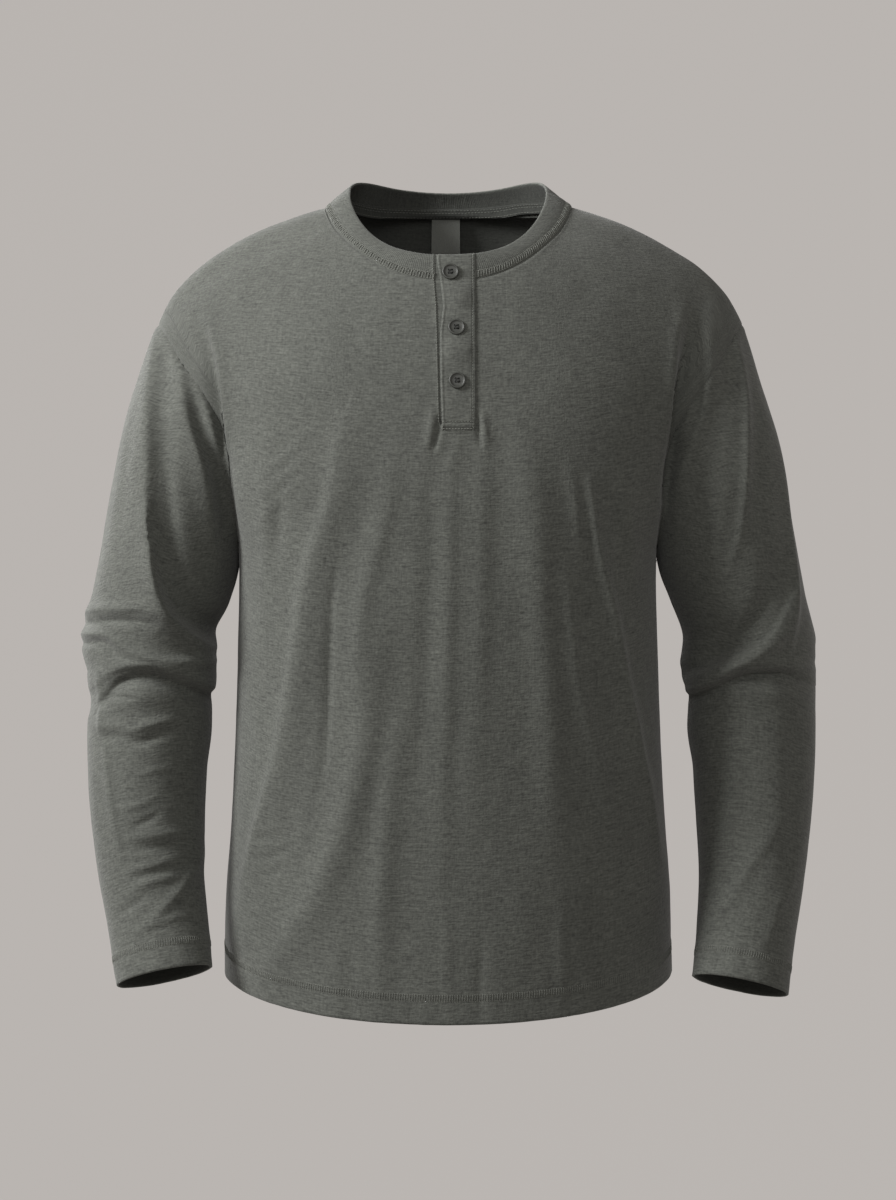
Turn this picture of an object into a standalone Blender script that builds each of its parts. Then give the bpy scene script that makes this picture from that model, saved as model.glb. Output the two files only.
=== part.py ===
"""A long-sleeved henley shirt as it stands when worn, hollow, with nobody in it.

The cloth is one smooth skin, worked out from cross-sections of the body and of the
sleeves, with its folds pushed in or out along the skin's own normals. The skin is cut
at the seams into the pieces a maker would sew, and each piece is a wall of cloth,
GAP apart from its neighbours. All sizes are in millimetres until a mesh is made.
+X is the wearer's left, -Y the front, +Z up. The origin is the middle of the neck's
base, level with the inner ends of the shoulder seams.
"""

import math

import bmesh
import bpy
import numpy as np
from mathutils import Matrix

MM = 0.001

# ---- cloth ----
CLOTH = 1.5          # wall of the jersey
BAND_CLOTH = 2.2     # the neckband is rib, folded double
TRIM_CLOTH = 1.3     # plackets
TAPE_CLOTH = 1.0     # neck tape and label
GAP = 0.3            # between pieces at a seam
CORNER_GAP = 1.5     # a corner where three pieces meet is drawn back this much more
MITRE_LEAN = 0.4     # a wall's far corner at a seam goes no further than 1 over this
RIM_ORDER = np.array([0.1, 0.4, 1.0])    # which way a wall's edge is split, the same for neighbours
HEM_DEPTH = 22.0     # turned hem of the body and of the sleeves
HEM_CLOTH = 2.4      # wall where the hem is turned up
HEM_STEP = 2.0       # over which the wall thins again
SHARP = 70.0         # degrees between two faces from which their shared edge is shaded sharp

# ---- how finely the skin is cut ----
LOW_ROWS = 10        # rows of cells from hem to armpit
HIGH_ROWS = 16       # rows of cells from armpit to shoulder seam
SHOULDER_COLUMNS = 7 # columns of cells along one shoulder seam
NECK_COLUMNS = 7     # columns of cells from a shoulder seam to the placket
SHOULDER_SPREAD = 0.9    # below 1 the shoulder's columns are closest at the armhole
SIDE_PULL = 8        # the power at which a pull on the side seam fades across a panel
SLEEVE_ROWS = ((2, 9), (6, 10), (10, 7))    # rows of cells down a sleeve as far as each ring

# ---- body: one row a section, hem first. A section is a curve from the middle of the
# panel to its edge, which is the side seam, then the armhole. It sets out level and
# meets the edge turned back by "turn" and down by "drop" degrees; the two reaches say
# how far it keeps each direction.
SECTION_NAMES = ("mid_y", "mid_z", "edge_x", "edge_y", "edge_z",
                 "turn", "drop", "mid_reach", "edge_reach")
FRONT_SECTIONS = {
    "hem":     (-122, -703, 198.0,   4, -672, 90,  -8, 122, 82),
    "seat":    (-124, -622, 196.0,   4, -608, 90,  -3, 120, 82),
    "hip":     (-125, -541, 191.0,   4, -535, 90,   0, 118, 85),
    "waist":   (-126, -460, 187.0,   4, -457, 90,   0, 116, 90),
    "ribs":    (-128, -380, 185.0,   4, -380, 90,   0, 115, 97),
    "armpit":  (-129, -310, 183.0,   4, -302, 90,   0, 114, 104),
    "pit":     (-129, -290, 183.2, -11, -298, 92,   0, 114, 90),
    "breast":  (-128, -255, 185.5, -35, -268, 94,   0, 114, 66),
    "chest":   (-124, -209, 189.0, -49, -226, 84,  10, 113, 50),
    "upper":   (-117, -163, 199.0, -54, -195, 60,  20, 112, 50),
    "collar":  (-107, -119, 217.0, -50, -164, 35,  32, 111, 55),
    "neck":    ( -92,  -77, 237.0, -37, -138, 15,  46, 110, 60),
    "above":   ( -54,  -21, 252.3, -16, -113,  5,  58, 106, 68),
    "ridge":   (  -4,   12, 259.5,   4, -104,  0,  68, 102, 82),
}
BACK_SECTIONS = {
    "hem":     (112, -701, 198.0,  4, -672, 90,  -8, 122, 76),
    "seat":    (109, -621, 196.0,  4, -608, 90,  -3, 120, 73),
    "hip":     (104, -541, 191.0,  4, -535, 90,   0, 118, 73),
    "waist":   (101, -460, 187.0,  4, -457, 90,   0, 116, 76),
    "ribs":    (105, -380, 185.0,  4, -380, 90,   0, 115, 84),
    "armpit":  (111, -309, 183.0,  4, -302, 90,   0, 114, 94),
    "pit":     (112, -285, 183.8, 22, -297, 90,   0, 114, 76),
    "breast":  (114, -245, 188.0, 46, -269, 88,   0, 114, 56),
    "chest":   (114, -192, 196.0, 63, -232, 72,  10, 112, 50),
    "upper":   (111, -141, 208.0, 69, -199, 50,  20, 110, 50),
    "collar":  (103,  -93, 224.0, 61, -168, 30,  32, 110, 55),
    "neck":    ( 90,  -44, 240.0, 45, -139, 15,  46, 110, 60),
    "above":   ( 67,    3, 252.8, 24, -114,  5,  58, 106, 68),
    "ridge":   ( -4,   12, 259.5,  4, -104,  0,  68, 102, 82),
}
NAMES = list(FRONT_SECTIONS)
ARMPIT = NAMES.index("armpit")
FRONT_NECK = NAMES.index("neck")    # the neckline's lowest point is this section's middle
BACK_NECK = NAMES.index("above")

SHOULDER_SHIFT = 2.2                # the shoulders stand a little to the wearer's left
SHIFT_TOP, SHIFT_REACH = -170.0, 120.0

# ---- neck ----
NECK_HALF = 109.0                   # neckline, at the shoulder seams
BAND_EDGE_X = 87.0                  # the neckband's top edge: half its width,
BAND_EDGE_Y = (-12.0, -72.0)        # how far back it lies, and its height. These are sums
BAND_EDGE_Z = (-4.3, -40.7, -13.8, 3.0, 1.7)    # of cosines of 0, 1, 2... turns round the neck
NECK_SIDE_Y = -2.0                  # how far back the shoulder seams meet the neckline
BAND_ROWS = 3
BAND_BULGE = 1.4
BAND_CENTRE = (0.0, NECK_SIDE_Y, -200.0)    # the neckband bulges away from this point

# ---- sleeves: one row a ring, top first, then the cuff's edge. "in" and "out" are how
# far its inner and outer sides lie from the middle of the body, for each sleeve. The
# rises are how much higher its front and inner sides are than the opposite ones.
RING_NAMES = ("right_z", "right_in", "right_out", "left_z", "left_in", "left_out",
              "front_y", "back_y", "front_rise", "inner_rise")
SLEEVE_RINGS = (
    (-262, 187.0, 289.0, -262, 188.0, 290.0,  -63,  75,  0, -122),
    (-345, 195.0, 314.5, -345, 198.0, 316.0,  -58,  76,  0,   -8),
    (-383, 208.0, 324.5, -383, 209.0, 325.0,  -53,  75,  0,    0),
    (-412, 206.5, 320.5, -412, 206.0, 325.5,  -53,  70,  0,    0),
    (-436, 209.5, 316.5, -438, 213.0, 325.0,  -54,  65,  0,    0),
    (-458, 209.5, 319.0, -460, 212.0, 324.5,  -56,  59,  0,    0),
    (-500, 213.0, 317.0, -502, 217.0, 322.5,  -60,  48,  2,    1),
    (-578, 214.0, 307.0, -582, 220.0, 312.5,  -70,  22,  8,    5),
    (-630, 208.5, 294.5, -636, 216.5, 301.5,  -81,  -3, 14,   11),
    (-671, 203.0, 284.5, -679, 210.0, 292.5,  -93, -33, 20,   17),
)

# ---- placket ----
PLACKET_RIGHT, PLACKET_LEFT = -6.8, 23.6      # the upper placket's free and sewn edges
OPENING_RIGHT, OPENING_LEFT = -12.0, 20.0     # the opening it closes
UNDER_LEFT = 15.0                             # far edge of the placket underneath
UNDER_CLEAR = 1.5                             # its foot's height over the opening's foot
PLACKET_FOOT = -205.5                         # lowest edge of the upper placket
OPENING_FOOT_ROW = 10                         # the opening ends this many rows under the neck
BUTTON_HEIGHTS = (-70.0, -119.0, -164.5)      # height of each button's middle
BUTTON_X = (2.1, 7.1, 7.7)
BUTTON = {"radius": 7.1, "thick": 2.6, "rim": 1.5, "dish": 0.7, "edge": 0.5,
          "hole": 0.9, "hole_ring": 1.9, "sides": 20, "hole_sides": 6}

# ---- tape and label inside the back neck
TAPE_DEPTH = 10.0
TAPE_INSET = 0.06    # of a cell, by which the tape stays clear of the neckband
LABEL = {"half_width": 13.2, "middle": -2.0, "height": -30.0, "rows": (2.06, 3.8)}

# ---- folds, as seen from in front or from behind: a soft ridge (a trough where height is
# below 0) along a line from one end to the other, bowed sideways in its middle.
FOLD_NAMES = ("x0", "z0", "x1", "z1", "bow", "half_width", "height")
TAPER_START, TAPER_POWER = 0.06, 0.7    # how a fold rises at its ends
FACING_SLOPE = 0.7    # how fast the front's folds give way to the back's where the cloth turns
BODY_FRONT_FOLDS = {
    "right outer ridge":  (-103, -255, -174, -585, 4, 19, 7.0),
    "right outer trough": (-70, -245, -132, -520, 5, 17, -6.4),
    "right inner ridge":  (-38, -270, -143, -655, 14, 18, 6.7),
    "right inner trough": (-16, -235, -88, -600, 10, 16, -5.2),
    "middle ridge":       (27, -240, 12, -600, 3, 16, 4.1),
    "middle trough":      (42, -235, 54, -640, -3, 16, -4.1),
    "left inner ridge":   (58, -245, 104, -520, -3, 15, 4.9),
    "left inner trough":  (92, -240, 130, -560, -3, 18, -4.6),
    "left outer ridge":   (119, -240, 188, -560, -5, 13, 5.8),
    "right hem ripple":   (-60, -560, -52, -690, 2, 15, 3.5),
    "left hem ripple":    (96, -520, 112, -680, 2, 22, -3.8),
    "right armhole ridge":  (-203, -128, -190, -285, 7, 10, 5.8),
    "right armhole hollow": (-184, -140, -172, -250, 6, 12, -4.3),
    "left armhole ridge":   (205, -140, 186, -285, -7, 10, 4.6),
    "left armhole hollow":  (184, -140, 168, -250, -6, 13, -4.3),
}
BODY_BACK_FOLDS = {
    "right blade hollow":   (-128, -150, -162, -268, -8, 17, -5.0),
    "right drape":          (-112, -260, -150, -640, -8, 21, 6.7),
    "right drape trough":   (-78, -270, -104, -600, -5, 17, -5.2),
    "middle right drape":   (-40, -230, -52, -620, -6, 18, 5.2),
    "middle trough":        (-4, -240, 8, -640, 4, 21, -5.8),
    "middle left drape":    (44, -250, 66, -610, 5, 17, 5.5),
    "left drape trough":    (82, -230, 110, -560, 6, 18, -4.9),
    "left drape":           (118, -270, 158, -620, 8, 19, 6.4),
    "left blade hollow":    (130, -160, 160, -275, 8, 17, -4.6),
}
SLEEVE_FRONT_FOLDS = {
    "right crest":        (-266, -128, -262, -330,  -4, 16,  4.2),
    "right valley":       (-240, -128, -214, -366, -12, 15, -6.2),
    "right elbow tuck":   (-326, -358, -226, -372,   3,  9, -4.0),
    "right elbow roll":   (-322, -388, -196, -399,  -5, 11,  6.5),
    "right elbow crease": (-302, -422, -203, -432,  10, 10, -8.0),
    "right elbow under":  (-320, -446, -214, -456,   8, 11,  4.0),
    "right forearm ripple": (-302, -484, -238, -472,  4, 10, -2.8),
    "right forearm drape":  (-224, -540, -262, -630,  6, 15, -3.4),
    "left crest":         ( 264, -140,  256, -310,   4, 16,  4.4),
    "left valley":        ( 234, -150,  222, -340,   6, 15, -4.8),
    "left elbow hollow":  ( 206, -370,  262, -372,  -4, 12, -4.5),
    "left elbow roll":    ( 318, -366,  208, -410, -10, 11,  6.8),
    "left elbow crease":  ( 314, -424,  214, -434,  11, 10, -7.6),
    "left elbow under":   ( 322, -450,  222, -460,   9, 12,  3.6),
    "left forearm drape": ( 306, -510,  236, -640,  10, 15, -3.6),
    "left forearm ridge": ( 322, -530,  262, -655,   8, 14,  3.2),
}
SLEEVE_BACK_FOLDS = {
    "right head valley":   (-252, -150, -262, -330,   5, 14, -5.0),
    "right elbow roll":    (-326, -384, -206, -376,   8, 12,  6.0),
    "right elbow crease":  (-322, -412, -208, -404,   9, 11, -6.5),
    "right forearm roll":  (-314, -446, -214, -436,   8, 13,  4.0),
    "right forearm drape": (-292, -520, -256, -640,   8, 15, -3.4),
    "left head valley":    ( 250, -150,  264, -330,  -4, 14, -5.0),
    "left elbow roll":     ( 328, -374,  208, -386,   8, 12,  6.0),
    "left elbow crease":   ( 322, -404,  212, -416,   9, 11, -6.5),
    "left forearm roll":   ( 320, -440,  220, -446,   8, 13,  4.0),
    "left forearm drape":  ( 300, -530,  260, -650,   8, 15, -3.4),
}
BODY_CALM, SLEEVE_CALM = 16.0, 12.0   # folds fade out over this distance from an armhole

COLOURS = {
    "jersey": (0.085, 0.090, 0.078),
    "rib": (0.080, 0.085, 0.073),
    "button": (0.060, 0.062, 0.052),
    "label": (0.110, 0.115, 0.100),
}
ROUGHNESS = {"jersey": 0.9, "rib": 0.9, "button": 0.45, "label": 0.8}


# ---------------------------------------------------------------- curves

def unit(vectors):
    """Vectors made 1 long; a zero vector stays as it is."""
    length = np.linalg.norm(vectors, axis=-1, keepdims=True)
    return vectors / np.where(length > 0, length, 1)


def smooth_curve(knots, values, at):
    """Points of a curve through values, which stand at the knots. It goes past none of them."""
    knots, values, at = np.asarray(knots, float), np.asarray(values, float), np.asarray(at, float)
    flat = values.reshape(len(knots), -1)
    step = np.diff(knots)[:, None]
    rise = np.diff(flat, axis=0) / step
    before, after = rise[:-1], rise[1:]
    alike = before * after > 0
    slope = np.concatenate([rise[:1], np.zeros_like(before), rise[-1:]])
    slope[1:-1][alike] = (2 * before * after)[alike] / (before + after)[alike]
    i = np.clip(np.searchsorted(knots, at, side="right") - 1, 0, len(step) - 1)
    t = ((at - knots[i])[:, None]) / step[i]
    curve = ((1 + 2 * t) * (1 - t) ** 2 * flat[i] + t * t * (3 - 2 * t) * flat[i + 1]
             + step[i] * t * (1 - t) * ((1 - t) * slope[i] - t * slope[i + 1]))
    return curve.reshape(len(at), *values.shape[1:])


def section_points(row, across, backward):
    """A section at the places across, which run from 0 in the middle to 1 at the edge."""
    s = dict(zip(SECTION_NAMES, row))
    turn, drop = math.radians(s["turn"]), math.radians(s["drop"])
    heading = np.array([math.cos(turn) * math.cos(drop),
                        backward * math.sin(turn) * math.cos(drop), -math.sin(drop)])
    middle = np.array([0.0, s["mid_y"], s["mid_z"]])
    edge = np.array([s["edge_x"], s["edge_y"], s["edge_z"]])
    near = middle + np.array([s["mid_reach"], 0, 0])
    far = edge - s["edge_reach"] * heading
    t = np.asarray(across, float)[:, None]
    return ((1 - t) ** 3 * middle + 3 * (1 - t) ** 2 * t * near
            + 3 * (1 - t) * t ** 2 * far + t ** 3 * edge)


def section_grid(table, across, backward):
    """Every section of a table at the signed places across, as sections x places x 3."""
    grid = np.array([section_points(row, np.abs(across), backward) for row in table.values()])
    grid[:, :, 0] *= np.where(np.asarray(across) < 0, -1.0, 1.0)
    return grid


def section_knots():
    """How far up the cloth each section lies, the same for the front and the back."""
    places = np.linspace(0, 1, 9)
    steps = [np.linalg.norm(np.diff(section_grid(table, places, sign), axis=0), axis=2).mean(axis=1)
             for table, sign in ((FRONT_SECTIONS, 1), (BACK_SECTIONS, -1))]
    return np.concatenate([[0.0], np.cumsum(np.mean(steps, axis=0))])


KNOTS = section_knots()
TOP = KNOTS[-1]


def across_of(x, row=FRONT_SECTIONS["ridge"]):
    """The place across at which a section is x from the middle of the body."""
    places = np.linspace(0, 1, 400)
    return float(np.sign(x) * np.interp(abs(x), section_points(row, places, 1)[:, 0], places))


NECK_ACROSS = across_of(NECK_HALF)


def neckline(across, neck_section):
    """How far up the cloth the neckline crosses each place across; TOP beyond the neck."""
    inside = np.clip(1 - (np.asarray(across, float) / NECK_ACROSS) ** 2, 0, 1)
    return TOP - (TOP - KNOTS[neck_section]) * np.sqrt(inside)


# ---------------------------------------------------------------- the skin

def columns():
    """Places across of the body's columns, from the wearer's right to the left."""
    placket_row = FRONT_SECTIONS["collar"]
    right, left = (across_of(x, placket_row) for x in (OPENING_RIGHT, OPENING_LEFT))
    shoulder = 1 - (1 - NECK_ACROSS) * np.linspace(0, 1, SHOULDER_COLUMNS + 1) ** SHOULDER_SPREAD
    spread = np.sin(np.linspace(math.pi / 2, 0, NECK_COLUMNS + 1))

    def neck(last):
        return last + (NECK_ACROSS - last) * spread[1:]

    return np.concatenate([-shoulder, -neck(-right), neck(left)[::-1], shoulder[::-1]])


def body_curves(across):
    """Knots and values of one curve for each place across: up the front, over the
    shoulder and down the back, through every section."""
    front = section_grid(FRONT_SECTIONS, across, 1)
    back = section_grid(BACK_SECTIONS, across, -1)
    return (np.concatenate([KNOTS, 2 * TOP - KNOTS[-2::-1]]),
            np.concatenate([front, back[-2::-1]]))


def body_panel(is_front, rows, across):
    """A panel's points as rows x columns x 3, squeezed so that its top row is the neckline."""
    knots, curves = body_curves(across)
    calm = KNOTS[ARMPIT]
    top = neckline(across, FRONT_NECK if is_front else BACK_NECK)
    panel = np.empty((len(rows), len(across), 3))
    for c in range(len(across)):
        up = np.where(rows > calm, calm + (rows - calm) * (top[c] - calm) / (TOP - calm), rows)
        panel[:, c] = smooth_curve(knots, curves[:, c], up if is_front else 2 * TOP - up)
    rise = np.clip(1 + (panel[:, :, 2] - SHIFT_TOP) / SHIFT_REACH, 0, 1)
    panel[:, :, 0] += SHOULDER_SHIFT * rise * across ** 2
    return panel


def close_side_seams(front, back, across, armpit_row):
    """Makes the front's and the back's edges one line from the hem to the armpit."""
    for column in (0, -1):
        middle = (front[:armpit_row + 1, column] + back[:armpit_row + 1, column]) / 2
        for panel in (front, back):
            off = middle - panel[:armpit_row + 1, column]
            near = np.where(np.sign(across) == np.sign(across[column]), np.abs(across) ** SIDE_PULL, 0)
            panel[:armpit_row + 1] += near[None, :, None] * off[:, None]


def ring_points(ring, side, angles):
    """A sleeve's ring at angles that start under the arm and go round by the front."""
    r = dict(zip(RING_NAMES, ring))
    name, sign = ("left", 1) if side > 0 else ("right", -1)
    inner, outer, z = (r[name + end] for end in ("_in", "_out", "_z"))
    middle, half = (inner + outer) / 2, (outer - inner) / 2
    depth_middle, depth = (r["front_y"] + r["back_y"]) / 2, (r["back_y"] - r["front_y"]) / 2
    inward, forward = np.cos(angles), np.sin(angles)
    return np.stack([sign * (middle - half * inward),
                     depth_middle - depth * forward,
                     z + (r["inner_rise"] * inward + r["front_rise"] * forward) / 2], axis=1)


def sleeve(armhole, side):
    """A sleeve's points as rows x places round, from the armhole to the cuff's edge."""
    half = len(armhole) // 2
    along = np.linalg.norm(np.diff(np.vstack([armhole, armhole[:1]]), axis=0), axis=1)
    front, back = np.cumsum(along[:half]), np.cumsum(along[half:])
    angles = np.concatenate([[0], front / front[-1], 1 + back / back[-1]])[:-1] * math.pi
    lines = np.array([armhole] + [ring_points(ring, side, angles) for ring in SLEEVE_RINGS])
    grid = []
    for line in lines.transpose(1, 0, 2):
        knots = np.concatenate([[0], np.cumsum(np.linalg.norm(np.diff(line, axis=0), axis=1))])
        places, last = [[0.0]], 0.0
        for ring, count in SLEEVE_ROWS:
            end = min(knots[ring], knots[-1] - HEM_DEPTH - HEM_STEP)
            places.append(np.linspace(last, end, count + 1)[1:])
            last = end
        places.append([knots[-1] - HEM_DEPTH, knots[-1]])
        grid.append(smooth_curve(knots, line, np.concatenate(places)))
    return np.array(grid).transpose(1, 0, 2)


def band_edge(points):
    """The neckband's top edge over each point of the neckline."""
    side = np.clip(points[:, 0] / NECK_HALF, -1, 1)
    turn = np.arccos(np.sqrt(1 - side ** 2) * np.where(points[:, 1] < NECK_SIDE_Y, 1, -1))
    y, z = (sum(size * np.cos(k * turn) for k, size in enumerate(waves))
            for waves in (BAND_EDGE_Y, BAND_EDGE_Z))
    return np.stack([BAND_EDGE_X * side, y, z], axis=1)


def band_rows(foot, rows=BAND_ROWS):
    """The neckband's points as rows x places, up from the neckline."""
    edge = band_edge(foot)
    out = unit(foot - np.array(BAND_CENTRE))
    up = np.linspace(0, 1, rows + 1)[:, None, None]
    return foot + (edge - foot) * up + out * BAND_BULGE * np.sin(math.pi * up)


def grid_faces(grid, wraps, keep=None):
    """The cells of a grid as index quads. wraps joins the last column to the first. The
    first corners are mirrored in the middle, for halves() to cut both sides alike."""
    rows, cols = grid.shape[:2]
    faces = []
    for r in range(rows - 1):
        for c in range(cols if wraps else cols - 1):
            if keep is None or keep(r, c):
                n = (c + 1) % cols
                face = (r * cols + c, r * cols + n, (r + 1) * cols + n, (r + 1) * cols + c)
                faces.append(np.roll(face, 0 if wraps or c < cols // 2 else 1))
    return np.array(faces)


def turned(faces):
    """The same quads facing the other way."""
    return faces[:, [0, 3, 2, 1]]


def halves(faces):
    """Each quad as two triangles that share the line from its first to its third corner."""
    return np.concatenate([faces[:, [0, 1, 2]], faces[:, [0, 2, 3]]])


class Skin:
    """Pieces whose edges meet point on point. It works out normals across the seams."""

    def __init__(self):
        self.pieces = {}

    def add(self, name, grid, wraps=False, keep=None, flip=False):
        faces = grid_faces(grid, wraps, keep)
        self.pieces[name] = {"points": grid.reshape(-1, 3).copy(), "shape": grid.shape[:2],
                             "faces": turned(faces) if flip else faces}

    def weld(self):
        """Gives each point one number, shared by the points of other pieces that meet it."""
        every = np.concatenate([p["points"] for p in self.pieces.values()])
        _, number = np.unique(np.round(every, 3), axis=0, return_inverse=True)
        number = number.reshape(-1)
        start = 0
        for p in self.pieces.values():
            p["weld"] = number[start:start + len(p["points"])]
            start += len(p["points"])
        self.count = number.max() + 1

    def normals(self):
        """Each piece's outward normals, the same on both sides of a seam. Their length is
        what a wall's far side needs so that the wall keeps its thickness round a bend."""
        total = np.zeros((self.count, 3))
        own = {}
        for name, p in self.pieces.items():
            corners = [p["points"][p["faces"][:, i]] for i in range(4)]
            flat = unit(np.cross(corners[2] - corners[0], corners[3] - corners[1]))
            own[name] = np.zeros((self.count, 3))
            for i in range(4):
                ahead = unit(corners[(i + 1) % 4] - corners[i])
                behind = unit(corners[i - 1] - corners[i])
                angle = np.arccos(np.clip(np.sum(ahead * behind, axis=1), -1, 1))
                np.add.at(own[name], p["weld"][p["faces"][:, i]], flat * angle[:, None])
            total += own[name]
        total = unit(total)
        lean = np.ones(self.count)
        for direction in own.values():
            there = np.any(direction != 0, axis=1)
            lean = np.where(there, np.minimum(lean, np.sum(total * unit(direction), axis=1)), lean)
        total /= np.maximum(lean, MITRE_LEAN)[:, None]
        return {name: total[p["weld"]] for name, p in self.pieces.items()}

    def seam_shift(self, name):
        """How each point moves so that the piece ends half a GAP short of its seams."""
        own, others, number = np.zeros((self.count, 3)), np.zeros((self.count, 3)), np.zeros(self.count)
        for key, p in self.pieces.items():
            inward, there = np.zeros((self.count, 3)), np.zeros(self.count, bool)
            centre = p["points"][p["faces"]].mean(axis=1)
            for i in range(4):
                place = p["weld"][p["faces"][:, i]]
                np.add.at(inward, place, unit(centre - p["points"][p["faces"][:, i]]))
                there[place] = True
            if key == name:
                own, own_there = unit(inward), there
            else:
                others += unit(inward)
                number += there
        meets = own_there & (number > 0)
        reach = GAP / 2 * np.where(number > 1, CORNER_GAP, 1.0) * meets
        return (unit(own - unit(others)) * reach[:, None])[self.pieces[name]["weld"]]


def fold_height(points, table):
    """Sum of a table's folds at points, which are read by x and z alone."""
    place = points[:, [0, 2]]
    total = np.zeros(len(points))
    for row in table:
        f = dict(zip(FOLD_NAMES, row))
        start, end = np.array([f["x0"], f["z0"]]), np.array([f["x1"], f["z1"]])
        length = np.linalg.norm(end - start)
        along_way = (end - start) / length
        side_way = np.array([-along_way[1], along_way[0]])
        along = (place - start) @ along_way / length
        inside = np.clip(along, 0, 1)
        beside = (place - start) @ side_way - f["bow"] * 4 * inside * (1 - inside)
        past = np.maximum(np.abs(along - 0.5) - 0.5, 0) * length
        rise = np.clip(along * (1 - 2 * TAPER_START) + TAPER_START, 0, 1)
        taper = np.sin(math.pi * rise) ** TAPER_POWER
        total += f["height"] * taper * np.exp(-(beside ** 2 + past ** 2) / f["half_width"] ** 2)
    return total


def crumple(skin, seams):
    """Pushes the folds into the skin along its normals; they fade out towards the seams."""
    normals = skin.normals()
    tables = {"sleeve": (SLEEVE_FRONT_FOLDS, SLEEVE_BACK_FOLDS, SLEEVE_CALM),
              "body": (BODY_FRONT_FOLDS, BODY_BACK_FOLDS, BODY_CALM)}
    for name, p in skin.pieces.items():
        kind = next((key for key in tables if key in name), None)
        if kind is None:
            continue
        front, back, reach = tables[kind]
        facing = np.clip(0.5 - FACING_SLOPE * unit(normals[name])[:, 1], 0, 1)
        facing = facing * facing * (3 - 2 * facing)
        height = (facing * fold_height(p["points"], front.values())
                  + (1 - facing) * fold_height(p["points"], back.values()))
        height *= calm_near(p["points"], seams, reach)
        p["points"] = p["points"] + unit(normals[name]) * height[:, None]


def calm_near(points, seam, reach):
    """0 on a seam, rising to 1 at reach from it."""
    distance = np.full(len(points), 1e9)
    for q in seam:
        distance = np.minimum(distance, np.linalg.norm(points - q, axis=1))
    share = np.clip(distance / reach, 0, 1)
    return share * share * (3 - 2 * share)


# ---------------------------------------------------------------- solids

def material(name):
    """A plain Principled material in the part's own colour."""
    made = bpy.data.materials.get(name)
    if made is None:
        made = bpy.data.materials.new(name)
        made.use_nodes = True
        shader = made.node_tree.nodes["Principled BSDF"]
        shader.inputs["Base Color"].default_value = (*COLOURS[name], 1)
        shader.inputs["Roughness"].default_value = ROUGHNESS[name]
        shader.inputs["Metallic"].default_value = 0.0
    return made


def mesh_object(name, points, faces, cloth):
    """A named object from points in millimetres."""
    mesh = bpy.data.meshes.new(name)
    mesh.from_pydata([tuple(p) for p in np.asarray(points) * MM], [], [tuple(map(int, f)) for f in faces])
    mesh.update()
    mesh.materials.append(material(cloth))
    mesh.shade_smooth()
    mesh.set_sharp_from_angle(angle=math.radians(SHARP))
    made = bpy.data.objects.new(name, mesh)
    bpy.context.scene.collection.objects.link(made)
    return made


def wall(name, outer, inner, faces, cloth):
    """A closed wall between two layers of points that share their faces."""
    sides = {(int(a), int(b)) for face in faces for a, b in zip(face, np.roll(face, -1))}
    rim = [(a, b) for a, b in sorted(sides) if (b, a) not in sides]
    used = np.unique(faces)
    number = np.full(len(outer), -1)
    number[used] = np.arange(len(used))
    points = np.concatenate([outer[used], inner[used]])
    under = len(used)
    body = [tuple(f) for f in number[halves(faces)]]
    body += [(a + under, c + under, b + under) for a, b, c in body]
    for a, b in rim:
        near_a, near_b = number[a], number[b]
        far_a, far_b = near_a + under, near_b + under
        if outer[a] @ RIM_ORDER < outer[b] @ RIM_ORDER:
            body += [(near_b, near_a, far_b), (near_a, far_a, far_b)]
        else:
            body += [(near_b, near_a, far_a), (near_b, far_a, far_b)]
    return mesh_object(name, points, body, cloth)


def skin_wall(skin, name, normals, thickness, cloth):
    """One of the skin's pieces as a wall, drawn back a little from its seams."""
    p = skin.pieces[name]
    outer = p["points"] + skin.seam_shift(name)
    inner = outer - normals[name] * np.broadcast_to(thickness, len(outer))[:, None]
    return wall(name, outer, inner, p["faces"], cloth)


def grid_normals(grid):
    """Outward normals of an open grid of the front, whose rows run up from the hem."""
    upward, leftward = np.gradient(grid, axis=0), np.gradient(grid, axis=1)
    return unit(np.cross(leftward, upward))


def sample(grid, rows, cols):
    """A grid's values at whole or part-way rows and columns."""
    r, c = np.meshgrid(rows, cols, indexing="ij")
    r0 = np.minimum(r.astype(int), grid.shape[0] - 2)
    c0 = np.minimum(c.astype(int), grid.shape[1] - 2)
    up, side = (r - r0)[..., None], (c - c0)[..., None]
    return ((1 - up) * ((1 - side) * grid[r0, c0] + side * grid[r0, c0 + 1])
            + up * ((1 - side) * grid[r0 + 1, c0] + side * grid[r0 + 1, c0 + 1]))


def places_between(first, last):
    """Both ends and every whole number between them."""
    inner = np.arange(math.floor(first) + 1, math.ceil(last))
    return np.concatenate([[first], inner, [last]])


def find_on(grid, x, z):
    """The part-way row and column of a grid of the front at which it stands at x and z."""
    rows, cols = np.arange(grid.shape[0]), np.arange(grid.shape[1])
    row, col = 0.0, 0.0
    for _ in range(4):
        col = float(np.interp(x, sample(grid, [row], cols)[0, :, 0], cols))
        row = float(np.interp(z, sample(grid, rows, [col])[:, 0, 2], rows))
    return row, col


def layer(name, points, normals, near, far, cloth, flip=False):
    """A strip of cloth that fills the space from near to far along the normals."""
    faces = grid_faces(points, False)
    if flip:
        faces = turned(faces)
    outer, inner = (points + normals * at for at in (far, near))
    return wall(name, outer.reshape(-1, 3), inner.reshape(-1, 3), faces, cloth)


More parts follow.
